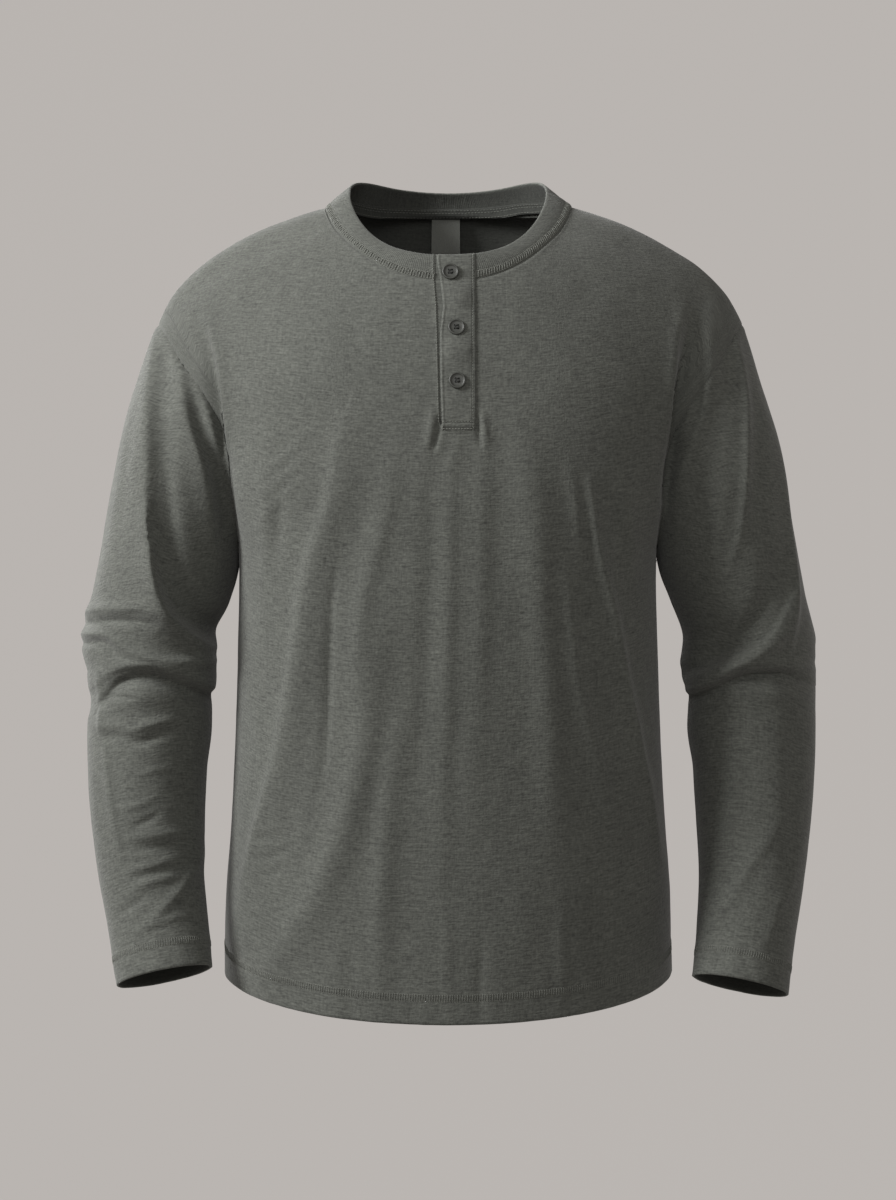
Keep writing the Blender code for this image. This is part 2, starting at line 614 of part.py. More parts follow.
def button(name, place, normal):
    """A four-hole button with a raised rim, its back at place."""
    b = BUTTON
    radius, thick, edge = b["radius"], b["thick"], b["edge"]
    profile = [(radius - edge, 0.0), (radius, edge), (radius, thick - edge), (radius - edge, thick),
               (radius - b["rim"], thick), (radius - b["rim"] - edge, thick - b["dish"])]
    steps = b["sides"]
    turn = np.arange(steps) * 2 * math.pi / steps
    points = [(r * math.cos(a), r * math.sin(a), h) for r, h in profile for a in turn]
    faces = [(k * steps + i, k * steps + (i + 1) % steps,
              (k + 1) * steps + (i + 1) % steps, (k + 1) * steps + i)
             for k in range(len(profile) - 1) for i in range(steps)]
    faces.append(tuple(range(steps))[::-1])
    faces.append(tuple((len(profile) - 1) * steps + i for i in range(steps)))
    made = mesh_object(name, points, faces, "button")
    cutter_mesh = bpy.data.meshes.new(name + "_holes")
    shape = bmesh.new()
    for quarter in range(4):
        angle = math.pi / 4 + quarter * math.pi / 2
        ring = bmesh.ops.create_cone(shape, cap_ends=True, segments=b["hole_sides"],
                                     radius1=b["hole"] * MM, radius2=b["hole"] * MM,
                                     depth=4 * thick * MM)
        bmesh.ops.translate(shape, verts=ring["verts"],
                            vec=(b["hole_ring"] * math.cos(angle) * MM,
                                 b["hole_ring"] * math.sin(angle) * MM, 0))
    shape.to_mesh(cutter_mesh)
    shape.free()
    cutter = bpy.data.objects.new(name + "_holes", cutter_mesh)
    bpy.context.scene.collection.objects.link(cutter)
    cutter.hide_render = True
    cutter.display_type = "WIRE"
    cut = made.modifiers.new("holes", "BOOLEAN")
    cut.operation = "DIFFERENCE"
    cut.object = cutter
    z = np.array(normal) / np.linalg.norm(normal)
    x = np.cross([0, 0, 1.0], z)
    x /= np.linalg.norm(x)
    y = np.cross(z, x)
    frame = Matrix([(x[i], y[i], z[i], place[i] * MM) for i in range(3)] + [(0, 0, 0, 1)])
    made.matrix_world = frame
    cutter.matrix_world = frame
    return made


# ---------------------------------------------------------------- the shirt

def build():
    for old in list(bpy.data.objects):
        bpy.data.objects.remove(old, do_unlink=True)

    across = columns()
    rows = np.concatenate([[0.0, HEM_DEPTH],
                           np.linspace(HEM_DEPTH + HEM_STEP, KNOTS[ARMPIT], LOW_ROWS - 1)[:-1],
                           np.linspace(KNOTS[ARMPIT], TOP - TAPE_DEPTH, HIGH_ROWS),
                           [TOP - TAPE_DEPTH / 2, TOP]])
    front, back = body_panel(True, rows, across), body_panel(False, rows, across)
    close_side_seams(front, back, across, LOW_ROWS)

    opening = [int(np.argmin(np.abs(across - across_of(x, FRONT_SECTIONS["collar"]))))
               for x in (OPENING_RIGHT, OPENING_LEFT)]
    opening_row = len(rows) - 1 - OPENING_FOOT_ROW
    skin = Skin()
    skin.add("front_body", front,
             keep=lambda r, c: not (r >= opening_row and opening[0] <= c < opening[1]))
    skin.add("back_body", back, flip=True)

    armholes = {}
    for side, name in ((-1, "sleeve_right"), (1, "sleeve_left")):
        column = 0 if side < 0 else -1
        armhole = np.concatenate([front[LOW_ROWS:, column], back[LOW_ROWS + 1:-1, column][::-1]])
        armholes[name] = armhole
        skin.add(name, sleeve(armhole, side), wraps=True, flip=side > 0)

    neck = np.flatnonzero(np.abs(across) < NECK_ACROSS + 1e-6)
    left_half, right_half = neck[neck >= opening[1]], neck[neck <= opening[0]]
    foot = np.concatenate([front[-1, left_half], back[-1, neck][::-1][1:-1], front[-1, right_half]])
    skin.add("neckband", band_rows(foot))

    skin.weld()
    crumple(skin, np.concatenate(list(armholes.values())))
    normals = skin.normals()

    hem = np.arange(len(rows))[:, None] < 2
    body_cloth = np.where(np.broadcast_to(hem, front.shape[:2]), HEM_CLOTH, CLOTH).reshape(-1)
    skin_wall(skin, "front_body", normals, body_cloth, "jersey")
    skin_wall(skin, "back_body", normals, body_cloth, "jersey")
    for name in armholes:
        shape = skin.pieces[name]["shape"]
        cuff = np.arange(shape[0])[:, None] >= shape[0] - 2
        thickness = np.where(np.broadcast_to(cuff, shape), HEM_CLOTH, CLOTH).reshape(-1)
        skin_wall(skin, name, normals, thickness, "jersey")
    skin_wall(skin, "neckband", normals, BAND_CLOTH, "rib")

    make_placket(skin, opening, opening_row)
    make_tape_and_label(skin, normals, neck)


def make_placket(skin, opening, opening_row):
    """Both plackets, which run up the front and over the neckband's ends, and the buttons."""
    front = skin.pieces["front_body"]
    grid = front["points"].reshape(*front["shape"], 3)
    base = np.concatenate([grid[:-1], band_rows(grid[-1])])
    out = grid_normals(base)
    top = len(base) - 1

    def strip(right, left, foot):
        low = find_on(base, left, foot)[0]
        across = places_between(*(find_on(base, x, foot)[1] for x in (right, left)))
        place = places_between(low, top), across
        return sample(base, *place), sample(out, *place)

    foot_height = base[opening_row, opening[0], 2] + UNDER_CLEAR
    layer("placket_under", *strip(OPENING_RIGHT + GAP, UNDER_LEFT, foot_height),
          -TRIM_CLOTH, 0, "jersey")
    layer("placket_upper", *strip(PLACKET_RIGHT, PLACKET_LEFT, PLACKET_FOOT),
          GAP, GAP + TRIM_CLOTH, "jersey")
    for i, (x, z) in enumerate(zip(BUTTON_X, BUTTON_HEIGHTS)):
        row, col = find_on(base, x, z)
        normal = unit(sample(out, [row], [col])[0, 0])
        middle = sample(base, [row], [col])[0, 0]
        near = base[np.linalg.norm(base - middle, axis=2) < 2 * BUTTON["radius"]]
        proud = max(0.0, ((near - middle) @ normal).max(initial=0.0))
        button(f"button_{i + 1}", middle + normal * (proud + 2 * GAP + TRIM_CLOTH), normal)


def make_tape_and_label(skin, normals, neck):
    """The tape over the seam inside the back neck, and the label that hangs from it."""
    back = skin.pieces["back_body"]
    grid = back["points"].reshape(*back["shape"], 3)
    out = normals["back_body"].reshape(grid.shape)
    top = len(grid) - 1
    inside = -(CLOTH + GAP)

    tape = (places_between(top - 2, top - TAPE_INSET),
            places_between(neck[0] + TAPE_INSET, neck[-1] - TAPE_INSET))
    layer("neck_tape", sample(grid, *tape), sample(out, *tape),
          inside - TAPE_CLOTH, inside, "rib", flip=True)
    cols = [find_on(grid, LABEL["middle"] + side * LABEL["half_width"], LABEL["height"])[1]
            for side in (-1, 1)]
    label = (places_between(top - LABEL["rows"][1], top - LABEL["rows"][0]), places_between(*cols))
    layer("neck_label", sample(grid, *label), sample(out, *label),
          inside - TAPE_CLOTH, inside, "label", flip=True)


build()
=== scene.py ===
# The looks of a long-sleeved henley shirt. Each piece of cloth is a thin shell on the form
# of its CAD solid, worked out from the same sections and rings, with finer folds, seams,
# hems and stitches. Sizes are in millimetres until a mesh is made. +X is the wearer's left,
# -Y the front, +Z up.

import math

import bmesh
import bpy
import numpy as np
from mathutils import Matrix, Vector


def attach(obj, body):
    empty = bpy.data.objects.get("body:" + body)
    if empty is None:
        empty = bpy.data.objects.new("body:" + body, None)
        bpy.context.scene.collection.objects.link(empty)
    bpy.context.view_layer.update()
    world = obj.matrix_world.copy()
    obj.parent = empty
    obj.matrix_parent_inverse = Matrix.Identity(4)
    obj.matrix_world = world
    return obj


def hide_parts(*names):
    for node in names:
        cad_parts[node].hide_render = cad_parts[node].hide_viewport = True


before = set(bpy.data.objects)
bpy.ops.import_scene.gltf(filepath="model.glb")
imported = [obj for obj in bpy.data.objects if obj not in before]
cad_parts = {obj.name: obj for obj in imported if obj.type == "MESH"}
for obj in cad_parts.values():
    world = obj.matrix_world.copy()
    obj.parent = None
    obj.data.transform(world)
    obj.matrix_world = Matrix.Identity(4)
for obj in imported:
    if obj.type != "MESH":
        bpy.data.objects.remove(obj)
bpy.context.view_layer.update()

MM = 0.001

# ---- cloth ----
CLOTH = 1.0          # the jersey's shell
BAND_CLOTH = 2.0     # the neckband is folded double
TRIM_CLOTH = 1.2     # plackets
TAPE_CLOTH = 0.8
HEM_DEPTH = 22.0     # turned hems
HEM_CLOTH = 1.9
HEM_RISE = 0.10      # how far a hem stands out
SHARP = 75.0         # degrees between two faces from which their shared edge is shaded sharp
ROUND = 0.7          # how far a round edge stands out, as a share of half its wall

# ---- noise and smoothing
NOISE_SIZE = 4096
NOISE_PRIMES = (73856093, 19349663, 83492791)
EVEN_PULL = 0.8      # how far a round of smoothing moves a point towards its neighbours

# ---- how finely the shells are cut. Counts are even, because the inside has half as many.
SHOULDER_COLUMNS = 62
NECK_COLUMNS = 48
BESIDE_COLUMNS, BESIDE = 12, 16.0     # close columns on both sides of the opening
OPENING_COLUMNS = 14
HEM_ZONE, HEM_ROWS = 28.0, 16
LOW_ROWS, HIGH_ROWS = 152, 124        # from the hem to the armpit, and on to the shoulder
SLEEVE_ROWS = ((2, 72), (6, 84), (10, 84))    # rows down a sleeve as far as each ring
CLOSE = (5.0, 3.2, 1.8, 0.8)          # distances from a seam of the places nearest to it
BAND_COLUMNS, BAND_ROWS = 1300, 14
SIDE_PULL = 8         # the power at which a pull on the side seam fades across a panel
SIDE_FADE = 24        # rows over which it fades above the armpit

# ---- sections and rings, as in the CAD ----
SECTION_NAMES = ("mid_y", "mid_z", "edge_x", "edge_y", "edge_z",
                 "turn", "drop", "mid_reach", "edge_reach")
FRONT_SECTIONS = {
    "hem":     (-122, -703, 198.0,   4, -672, 90,  -8, 122, 82),
    "seat":    (-124, -622, 196.0,   4, -608, 90,  -3, 120, 82),
    "hip":     (-125, -541, 191.0,   4, -535, 90,   0, 118, 85),
    "waist":   (-126, -460, 187.0,   4, -457, 90,   0, 116, 90),
    "ribs":    (-128, -380, 185.0,   4, -380, 90,   0, 115, 97),
    "armpit":  (-129, -310, 183.0,   4, -302, 90,   0, 114, 104),
    "pit":     (-129, -290, 183.2, -11, -298, 92,   0, 114, 90),
    "breast":  (-128, -255, 185.5, -35, -268, 94,   0, 114, 66),
    "chest":   (-124, -209, 189.0, -49, -226, 84,  10, 113, 50),
    "upper":   (-117, -163, 199.0, -54, -195, 60,  20, 112, 50),
    "collar":  (-107, -119, 217.0, -50, -164, 35,  32, 111, 55),
    "neck":    ( -92,  -77, 237.0, -37, -138, 15,  46, 110, 60),
    "above":   ( -54,  -21, 252.3, -16, -113,  5,  58, 106, 68),
    "ridge":   (  -4,   12, 259.5,   4, -104,  0,  68, 102, 82),
}
BACK_SECTIONS = {
    "hem":     (112, -701, 198.0,  4, -672, 90,  -8, 122, 76),
    "seat":    (109, -621, 196.0,  4, -608, 90,  -3, 120, 73),
    "hip":     (104, -541, 191.0,  4, -535, 90,   0, 118, 73),
    "waist":   (101, -460, 187.0,  4, -457, 90,   0, 116, 76),
    "ribs":    (105, -380, 185.0,  4, -380, 90,   0, 115, 84),
    "armpit":  (111, -309, 183.0,  4, -302, 90,   0, 114, 94),
    "pit":     (112, -285, 183.8, 22, -297, 90,   0, 114, 76),
    "breast":  (114, -245, 188.0, 46, -269, 88,   0, 114, 56),
    "chest":   (114, -192, 196.0, 63, -232, 72,  10, 112, 50),
    "upper":   (111, -141, 208.0, 69, -199, 50,  20, 110, 50),
    "collar":  (103,  -93, 224.0, 61, -168, 30,  32, 110, 55),
    "neck":    ( 90,  -44, 240.0, 45, -139, 15,  46, 110, 60),
    "above":   ( 67,    3, 252.8, 24, -114,  5,  58, 106, 68),
    "ridge":   ( -4,   12, 259.5,  4, -104,  0,  68, 102, 82),
}
NAMES = list(FRONT_SECTIONS)
ARMPIT = NAMES.index("armpit")
FRONT_NECK = NAMES.index("neck")
BACK_NECK = NAMES.index("above")
SHOULDER_SHIFT = 2.2
SHIFT_TOP, SHIFT_REACH = -170.0, 120.0
NECK_HALF = 109.0
BAND_EDGE_X = 87.0
BAND_EDGE_Y = (-12.0, -72.0)
BAND_EDGE_Z = (-4.3, -40.7, -13.8, 3.0, 1.7)
NECK_SIDE_Y = -2.0
BAND_BULGE = 1.4
BAND_CENTRE = (0.0, NECK_SIDE_Y, -200.0)
KNOT_PLACES, FIND_PLACES, WAIST_PLACES = 9, 400, 200    # places at which sections are measured
RING_NAMES = ("right_z", "right_in", "right_out", "left_z", "left_in", "left_out",
              "front_y", "back_y", "front_rise", "inner_rise")
SLEEVE_RINGS = (
    (-262, 187.0, 289.0, -262, 188.0, 290.0,  -63,  75,  0, -122),
    (-345, 195.0, 314.5, -345, 198.0, 316.0,  -58,  76,  0,   -8),
    (-383, 208.0, 324.5, -383, 209.0, 325.0,  -53,  75,  0,    0),
    (-412, 206.5, 320.5, -412, 206.0, 325.5,  -53,  70,  0,    0),
    (-436, 209.5, 316.5, -438, 213.0, 325.0,  -54,  65,  0,    0),
    (-458, 209.5, 319.0, -460, 212.0, 324.5,  -56,  59,  0,    0),
    (-500, 213.0, 317.0, -502, 217.0, 322.5,  -60,  48,  2,    1),
    (-578, 214.0, 307.0, -582, 220.0, 312.5,  -70,  22,  8,    5),
    (-630, 208.5, 294.5, -636, 216.5, 301.5,  -81,  -3, 14,   11),
    (-671, 203.0, 284.5, -679, 210.0, 292.5,  -93, -33, 20,   17),
)
OPENING_RIGHT, OPENING_LEFT = -12.0, 20.0
BUTTON_HEIGHTS = (-70.0, -119.0, -164.5)
BUTTON_X = (2.1, 7.1, 7.7)

# ---- folds, as seen from in front or from behind. A fold is a ridge (a trough where height
# is below 0) along a line of points (x, z), with its half width at each end. Where lean is
# above 0 it is steeper on the right of someone who walks the line downwards in the picture.
# Crest is 0 for a round top and 1 for a sharp one. A row is (height, width, end width, lean,
# crest, line).
BODY_FRONT_FOLDS = (
    # long folds that fall from the chest, from the wearer's right to the left
    (5.8, 13, 12, -0.35, 0.1, ((-86, -196), (-92, -223), (-97, -265), (-112, -306), (-121, -348),
        (-126, -390), (-133, -431), (-141, -473), (-151, -515), (-163, -556), (-171, -582),
        (-184, -630))),
    (2, 5, 5, 0, 0.2, ((-146, -488), (-158, -525), (-165, -556), (-175, -592))),
    (-1.9, 6, 6, 0, 0, ((-141, -256), (-144, -280), (-146, -318))),
    (-2.3, 5, 5, 0, 0.1, ((-92, -318), (-97, -348), (-99, -390), (-101, -431), (-103, -473),
        (-108, -512))),
    (1.9, 9, 9, 0.1, 0, ((-46, -225), (-52, -273), (-62, -315), (-71, -348), (-76, -390), (-80, -440))),
    (4.9, 16, 14, -0.1, 0, ((-62, -345), (-67, -390), (-68, -431), (-72, -473), (-82, -515),
        (-94, -556), (-112, -598), (-137, -640), (-158, -670))),
    (2.6, 10, 11, -0.1, 0, ((-38, -435), (-43, -465), (-50, -515), (-54, -556), (-56, -598),
        (-57, -648), (-57, -702))),
    (-1.4, 9, 10, 0, 0, ((-11, -226), (-14, -315), (-16, -381), (-20, -448), (-24, -510))),
    (0.8, 7, 8, 0, 0.1, ((2, -220), (1, -315), (0, -381), (-2, -448), (-5, -531), (-7, -620))),
    (-0.3, 5, 5, 0, 0, ((9, -214), (9, -300), (8, -365), (6, -431), (5, -520))),
    (1.1, 9, 9, -0.1, 0, ((29, -206), (28, -281), (27, -348), (25, -415), (22, -490))),
    (-0.5, 10, 11, 0, 0, ((44, -216), (42, -290), (41, -350), (40, -410))),
    (-0.2, 5, 5, 0, 0, ((9, -440), (9, -500), (10, -590))),
    (3.8, 15, 15, 0, 0, ((60, -200), (69, -250), (75, -298), (78, -348), (82, -390), (85, -431),
        (88, -480), (92, -550))),
    (6.2, 5.6, 6, -0.1, 0.6, ((118, -250), (121, -268), (127.5, -313), (138.4, -356), (145, -392),
        (151.7, -427), (158.4, -457), (165, -488), (172, -515), (184, -575))),
    (1.5, 6, 6, 0.1, 0, ((103, -234), (106, -256), (109, -282), (113, -310))),
    (-1.6, 4, 4, 0, 0, ((112, -252), (116, -282), (122, -316), (130, -350))),
    (-2, 7, 7, 0, 0, ((134, -246), (142, -285), (150, -330))),
    (1.6, 7, 7, 0, 0, ((150, -246), (154, -290), (157, -340))),
    (3.8, 7, 8, 0.1, 0.2, ((99, -320), (106, -390), (111, -425), (121, -466), (130, -500),
        (140, -550))),
    # at the wearer's right side
    (1.4, 7, 7, -0.2, 0.1, ((-158, -236), (-156, -300), (-160, -380))),
    (0.8, 4, 4, 0, 0, ((-114, -204), (-136, -226), (-162, -246))),
    (0.8, 4, 5, 0, 0, ((-120, -226), (-140, -246), (-166, -264))),
    (0.7, 4, 4, 0, 0, ((-122, -246), (-146, -268), (-168, -290))),
    (1, 5, 6, 0, 0.1, ((-178, -420), (-164, -452), (-158, -490))),
    (-1.2, 2.6, 2.6, 0.3, 0.1, ((-172, -569), (-152, -566), (-131, -556))),
    (-1, 2.4, 2.6, 0.3, 0.1, ((-168, -553), (-150, -549), (-136, -545))),
    (-0.7, 2.4, 2.6, 0.3, 0.1, ((-160, -582), (-146, -579), (-134, -572))),
    # above the hem
    (0.9, 6, 6, 0, 0, ((-1, -612), (-1, -660), (0, -702))),
    (-1, 5, 5, 0, 0, ((28, -630), (27, -670), (26, -702))),
    (0.9, 6, 7, 0, 0, ((95, -600), (95, -650), (96, -700))),
    (-1, 6, 7, 0, 0, ((-84, -630), (-82, -670), (-80, -704))),
    (0.9, 7, 7, 0, 0, ((144, -570), (150, -620), (156, -690))),
    (-0.9, 8, 8, 0, 0, ((120, -590), (126, -640), (130, -696))),
    # cloth drawn in at the placket's foot
    (-2.2, 1.8, 2.4, 0, 0.5, ((-7.4, -194), (-8.2, -204), (-9.8, -214), (-12, -224))),
    (1.9, 3.2, 5, 0, 0.2, ((-12.2, -188), (-13.8, -204), (-17.6, -224))),
    (0.7, 3, 4, 0, 0, ((-5, -207), (-7, -216), (-9, -228))),
    (-2, 1.8, 2.4, 0, 0.5, ((24.6, -194), (25.2, -204), (26.2, -212), (27, -221))),
    (1.6, 2.6, 5, 0, 0.1, ((29, -190), (30.4, -204), (32, -222))),
    (0.5, 3, 6, 0, 0, ((8, -208), (7, -222), (4, -240))),
)
BODY_BACK_FOLDS = (
    # from the shoulder blades down to the hem
    (-3.4, 11, 15, 0, 0, ((-150, -130), (-163, -180), (-170, -230), (-172, -290))),
    (4.6, 11, 13, 0.3, 0.1, ((-118, -190), (-126, -260), (-133, -340), (-148, -430), (-162, -540),
        (-168, -650))),
    (-3.4, 9, 12, 0, 0, ((-96, -250), (-106, -330), (-116, -420), (-134, -520), (-140, -600))),
    (3.6, 8, 11, -0.2, 0.1, ((-66, -210), (-74, -300), (-88, -400), (-96, -500), (-116, -620),
        (-126, -690))),
    (-2.2, 7, 8, 0, 0, ((-40, -280), (-50, -360), (-56, -450), (-70, -560))),
    (2.8, 9, 12, 0.1, 0, ((-22, -170), (-26, -260), (-30, -370), (-32, -480), (-40, -640))),
    (-2.6, 9, 11, 0, 0, ((4, -240), (2, -340), (6, -450), (2, -580))),
    (3.2, 8, 12, -0.1, 0.1, ((30, -200), (36, -300), (38, -410), (46, -520), (52, -660))),
    (-2.8, 9, 10, 0.1, 0, ((60, -260), (70, -350), (80, -450), (96, -560))),
    (4, 9, 12, -0.2, 0.1, ((84, -220), (94, -310), (108, -400), (116, -500), (136, -610), (146, -690))),
    (-3.2, 8, 10, 0, 0, ((116, -270), (126, -350), (140, -440), (152, -540))),
    (4.2, 10, 12, 0.2, 0.1, ((140, -230), (146, -310), (158, -400), (170, -500), (176, -600))),
    (-4, 11, 14, -0.2, 0.1, ((152, -134), (164, -186), (172, -236), (174, -290))),
    # across the shoulder blades and above the hem
    (-1, 9, 12, 0, 0, ((-190, -150), (-150, -146), (-104, -132), (-60, -124))),
    (1.6, 8, 10, 0, 0, ((64, -120), (106, -132), (150, -150), (188, -158))),
    (1.4, 7, 9, 0, 0, ((-20, -590), (-24, -650), (-24, -700))),
    (-1.3, 7, 9, 0, 0, ((84, -600), (88, -650), (88, -700))),
)
# folds that run over the armhole seams, on the body and the sleeves alike
ARM_FRONT_FOLDS = (
    (3.4, 5.5, 4.5, -0.35, 0.4, ((-212, -98), (-208, -107), (-203, -124), (-198, -141), (-194.6, -163),
        (-191, -193), (-188.6, -219), (-186.8, -245), (-183.4, -282))),
    (-5, 5.5, 4.5, 0.2, 0.2, ((-214, -112), (-209, -126), (-204, -143), (-200.5, -163), (-197, -193),
        (-194.5, -219), (-192.5, -245), (-189, -282))),
    (3.6, 6, 5, 0.35, 0.3, ((206, -94), (203, -103), (197, -124), (194.6, -150), (193, -176),
        (190, -202), (187.7, -227), (182.5, -262), (179, -298))),
    (-11, 7, 5, 0, 0.3, ((214, -106), (208.4, -128), (203.5, -154), (200, -176), (196.5, -202),
        (192, -228), (187, -258))),
    (3.8, 8, 6.5, -0.3, 0.1, ((228, -98), (227.3, -116), (225.6, -150), (222, -176), (214.4, -202),
        (206.6, -223), (198, -250))),
)
ARM_BACK_FOLDS = (
    (-6, 9, 7, -0.2, 0.1, ((-216, -116), (-208, -170), (-200, -230), (-192, -290))),
    (3.6, 7, 6, 0.2, 0.2, ((-232, -130), (-222, -180), (-212, -226), (-204, -262))),
    (-6, 9, 7, 0.2, 0.1, ((216, -116), (208, -170), (200, -230), (192, -290))),
    (3.4, 7, 6, -0.2, 0.2, ((234, -126), (225, -170), (214, -214), (202, -258))),
)
SLEEVE_FRONT_FOLDS = (
    # the wearer's right sleeve: the fold that runs from its head to the inner elbow, and the
    # hollow beside it
    (5.4, 9, 8, 0.38, 0.3, ((-259, -96), (-258.3, -133), (-259.2, -176), (-258.3, -219), (-257.4, -262),
        (-254.9, -301), (-251, -335))),
    (4.6, 8, 7, 0.45, 0.4, ((-257.4, -262), (-254.9, -301), (-250.6, -331), (-244.5, -351),
        (-237.6, -364), (-226.4, -376), (-213.5, -386), (-200, -397), (-186, -408), (-170, -420))),
    (-3.4, 8, 8, 0, 0, ((-247, -130), (-246.2, -176), (-243.7, -219), (-241, -262), (-236.8, -305),
        (-230.7, -335), (-220.4, -356), (-207, -371), (-192, -384), (-176, -396))),
    (4.6, 7, 6.5, 0.3, 0.3, ((-233, -112), (-232.5, -133), (-229.9, -159), (-227.3, -180),
        (-222.1, -202), (-215.3, -221), (-209.2, -245), (-205.8, -270), (-203.2, -301), (-201, -326))),
    (-3.8, 6, 6, 0, 0.1, ((-218, -160), (-216, -184), (-210, -206), (-203.2, -227), (-197.2, -253),
        (-192.9, -288))),
    (2.8, 4, 4, 0, 0.2, ((-217, -154), (-213.5, -171), (-207.5, -186), (-201.5, -203), (-195.4, -223),
        (-189.4, -249))),
    (-1.2, 6, 8, 0, 0, ((-276, -190), (-281, -240), (-286, -310))),
    # its elbow
    (3, 5, 5, -0.3, 0.2, ((-344, -366), (-322, -360), (-308, -357), (-282, -356), (-262, -356),
        (-246, -362))),
    (-3.4, 4, 4, 0.2, 0.3, ((-338, -372), (-318, -368), (-300, -366), (-276, -366), (-252, -369))),
    (2.6, 3.4, 3, -0.3, 0.3, ((-346, -380), (-330, -379), (-312, -378), (-296, -379), (-280, -390),
        (-263, -397), (-246, -401))),
    (-2.8, 3.2, 3, 0.2, 0.3, ((-344, -389), (-322, -386), (-300, -385), (-286, -396), (-270, -401))),
    (5, 8, 7, -0.45, 0.3, ((-306, -421), (-293, -411), (-278, -405), (-262, -403.5), (-248, -406),
        (-235, -411), (-222, -417), (-208, -425), (-188, -436))),
    (-5.6, 4.6, 5.4, 0.45, 0.35, ((-304, -441), (-292.7, -426), (-284, -418.4), (-269.5, -413.5),
        (-256.6, -412.6), (-243.7, -416), (-230, -422), (-219, -427), (-208, -431), (-190, -436))),
    (2.6, 9, 9, 0, 0, ((-306, -450), (-276, -434), (-250, -432), (-226, -446))),
    (4.4, 6, 5, 0, 0.1, ((-246, -402), (-228, -402), (-210, -402), (-192, -402), (-174, -402))),
    (-1.8, 2.4, 2.4, 0.2, 0.2, ((-298, -432), (-284, -432), (-268, -433))),
    (2, 4, 4, 0, 0.1, ((-304, -412), (-302, -436), (-301, -468))),
    (2.4, 4, 4, -0.2, 0.1, ((-278, -463), (-260, -457), (-236, -451))),
    (-2.6, 3.6, 3.6, 0.2, 0.2, ((-276, -472), (-258, -468), (-238, -461))),
    (1.8, 4, 4, -0.2, 0, ((-306, -459), (-290, -457), (-272, -460))),
    (-1.8, 3.6, 3.6, 0.2, 0, ((-304, -468), (-288, -466), (-270, -469))),
    # its forearm
    (2.2, 4.5, 5, 0.2, 0.2, ((-299, -456), (-296, -480), (-292, -512), (-287, -540), (-280, -572))),
    (1.9, 4, 4, -0.2, 0.1, ((-272, -552), (-250, -550), (-234, -549), (-216, -552))),
    (-1.9, 4, 4, 0.2, 0.1, ((-272, -560), (-248, -560), (-226, -558))),
    (-1.7, 3, 3, 0.2, 0, ((-272, -543), (-260, -538), (-248, -531))),
    (1.1, 3.4, 3, 0.2, 0, ((-282, -528), (-266, -524), (-250, -516))),
    (2.6, 4.5, 5, 0, 0.1, ((-204, -548), (-213.5, -568), (-222, -586), (-238, -606), (-256, -624))),
    (1.6, 3.4, 3, 0, 0, ((-274, -581), (-252, -575), (-230, -570))),
    (-1.2, 3, 3, 0, 0, ((-274, -587), (-254, -582), (-234, -578))),
    (1.6, 3.4, 3, 0, 0, ((-270, -594), (-248, -588), (-226, -584))),
    (-1.4, 3, 4, 0, 0, ((-288, -622), (-266, -606), (-250, -597))),
    (1.2, 3.2, 3, 0, 0, ((-266, -631), (-244, -622), (-222, -617))),
    (0.9, 3.2, 3, 0, 0, ((-268, -500), (-250, -494), (-232, -492))),
    # the wearer's left sleeve: the head and the upper arm
    (3.4, 4.2, 5, -0.2, 0.3, ((243, -84), (249.7, -116), (256.6, -150), (259.2, -176), (258.3, -210),
        (256.6, -245), (254, -270), (249.7, -296), (240, -326))),
    (-2, 9, 9, 0, 0, ((266, -150), (269, -176), (270.4, -227), (267, -290))),
    (1.6, 8, 8, 0, 0, ((232, -220), (234, -270), (226, -340))),
    (4.2, 4.2, 4.6, 0.1, 0.3, ((286, -170), (290, -202), (294, -245), (298, -290), (301, -330),
        (301, -362), (296, -392))),
    # its elbow: a fold comes down the outside and rolls over to the inner elbow
    (3.4, 6, 6, -0.2, 0.3, ((298, -300), (301, -330), (300, -350), (294.5, -370), (283.3, -385),
        (270.4, -394), (255.7, -402), (241, -410), (229, -418), (214, -427), (200, -437), (184, -450))),
    (-7, 8, 9, 0, 0.2, ((283, -312), (280, -332), (275, -348), (267, -363), (256, -377), (245, -386),
        (230, -395), (215, -404), (200, -414), (180, -428))),
    (3, 5, 5, -0.3, 0.1, ((240, -410), (266, -403.5), (282, -404), (298, -406), (322, -410))),
    (-6, 4, 4, 0.4, 0.5, ((190, -437), (204, -435), (216, -431), (229.9, -425), (239, -419.5),
        (251.4, -414), (264.3, -411.6), (281.5, -411), (298, -413), (322, -422))),
    (2, 9, 9, 0, 0, ((226, -446), (250, -433), (276, -430), (304, -434))),
    (2.6, 6, 5, 0, 0, ((232, -397), (214, -402), (200, -406))),
    (-1.4, 6, 6, 0, 0, ((214, -380), (230, -376), (250, -366))),
    (-1, 4, 5, 0, 0.1, ((318, -470), (300, -466), (284, -468))),
    # its forearm
    (1.8, 7, 7, 0.2, 0.1, ((290, -530), (276.4, -553), (259.2, -575), (246.2, -597), (233.3, -618),
        (222, -640))),
    (1.5, 6, 6, 0.2, 0, ((304, -562), (294.5, -591), (280.7, -618), (272, -640))),
    (-1.7, 7, 7, 0, 0, ((296, -450), (296, -510), (294, -574))),
    (1, 5, 6, 0, 0, ((250, -470), (247, -520), (240, -560))),
    (-0.8, 4, 4, 0.2, 0, ((228, -590), (238, -586), (246, -586))),
)
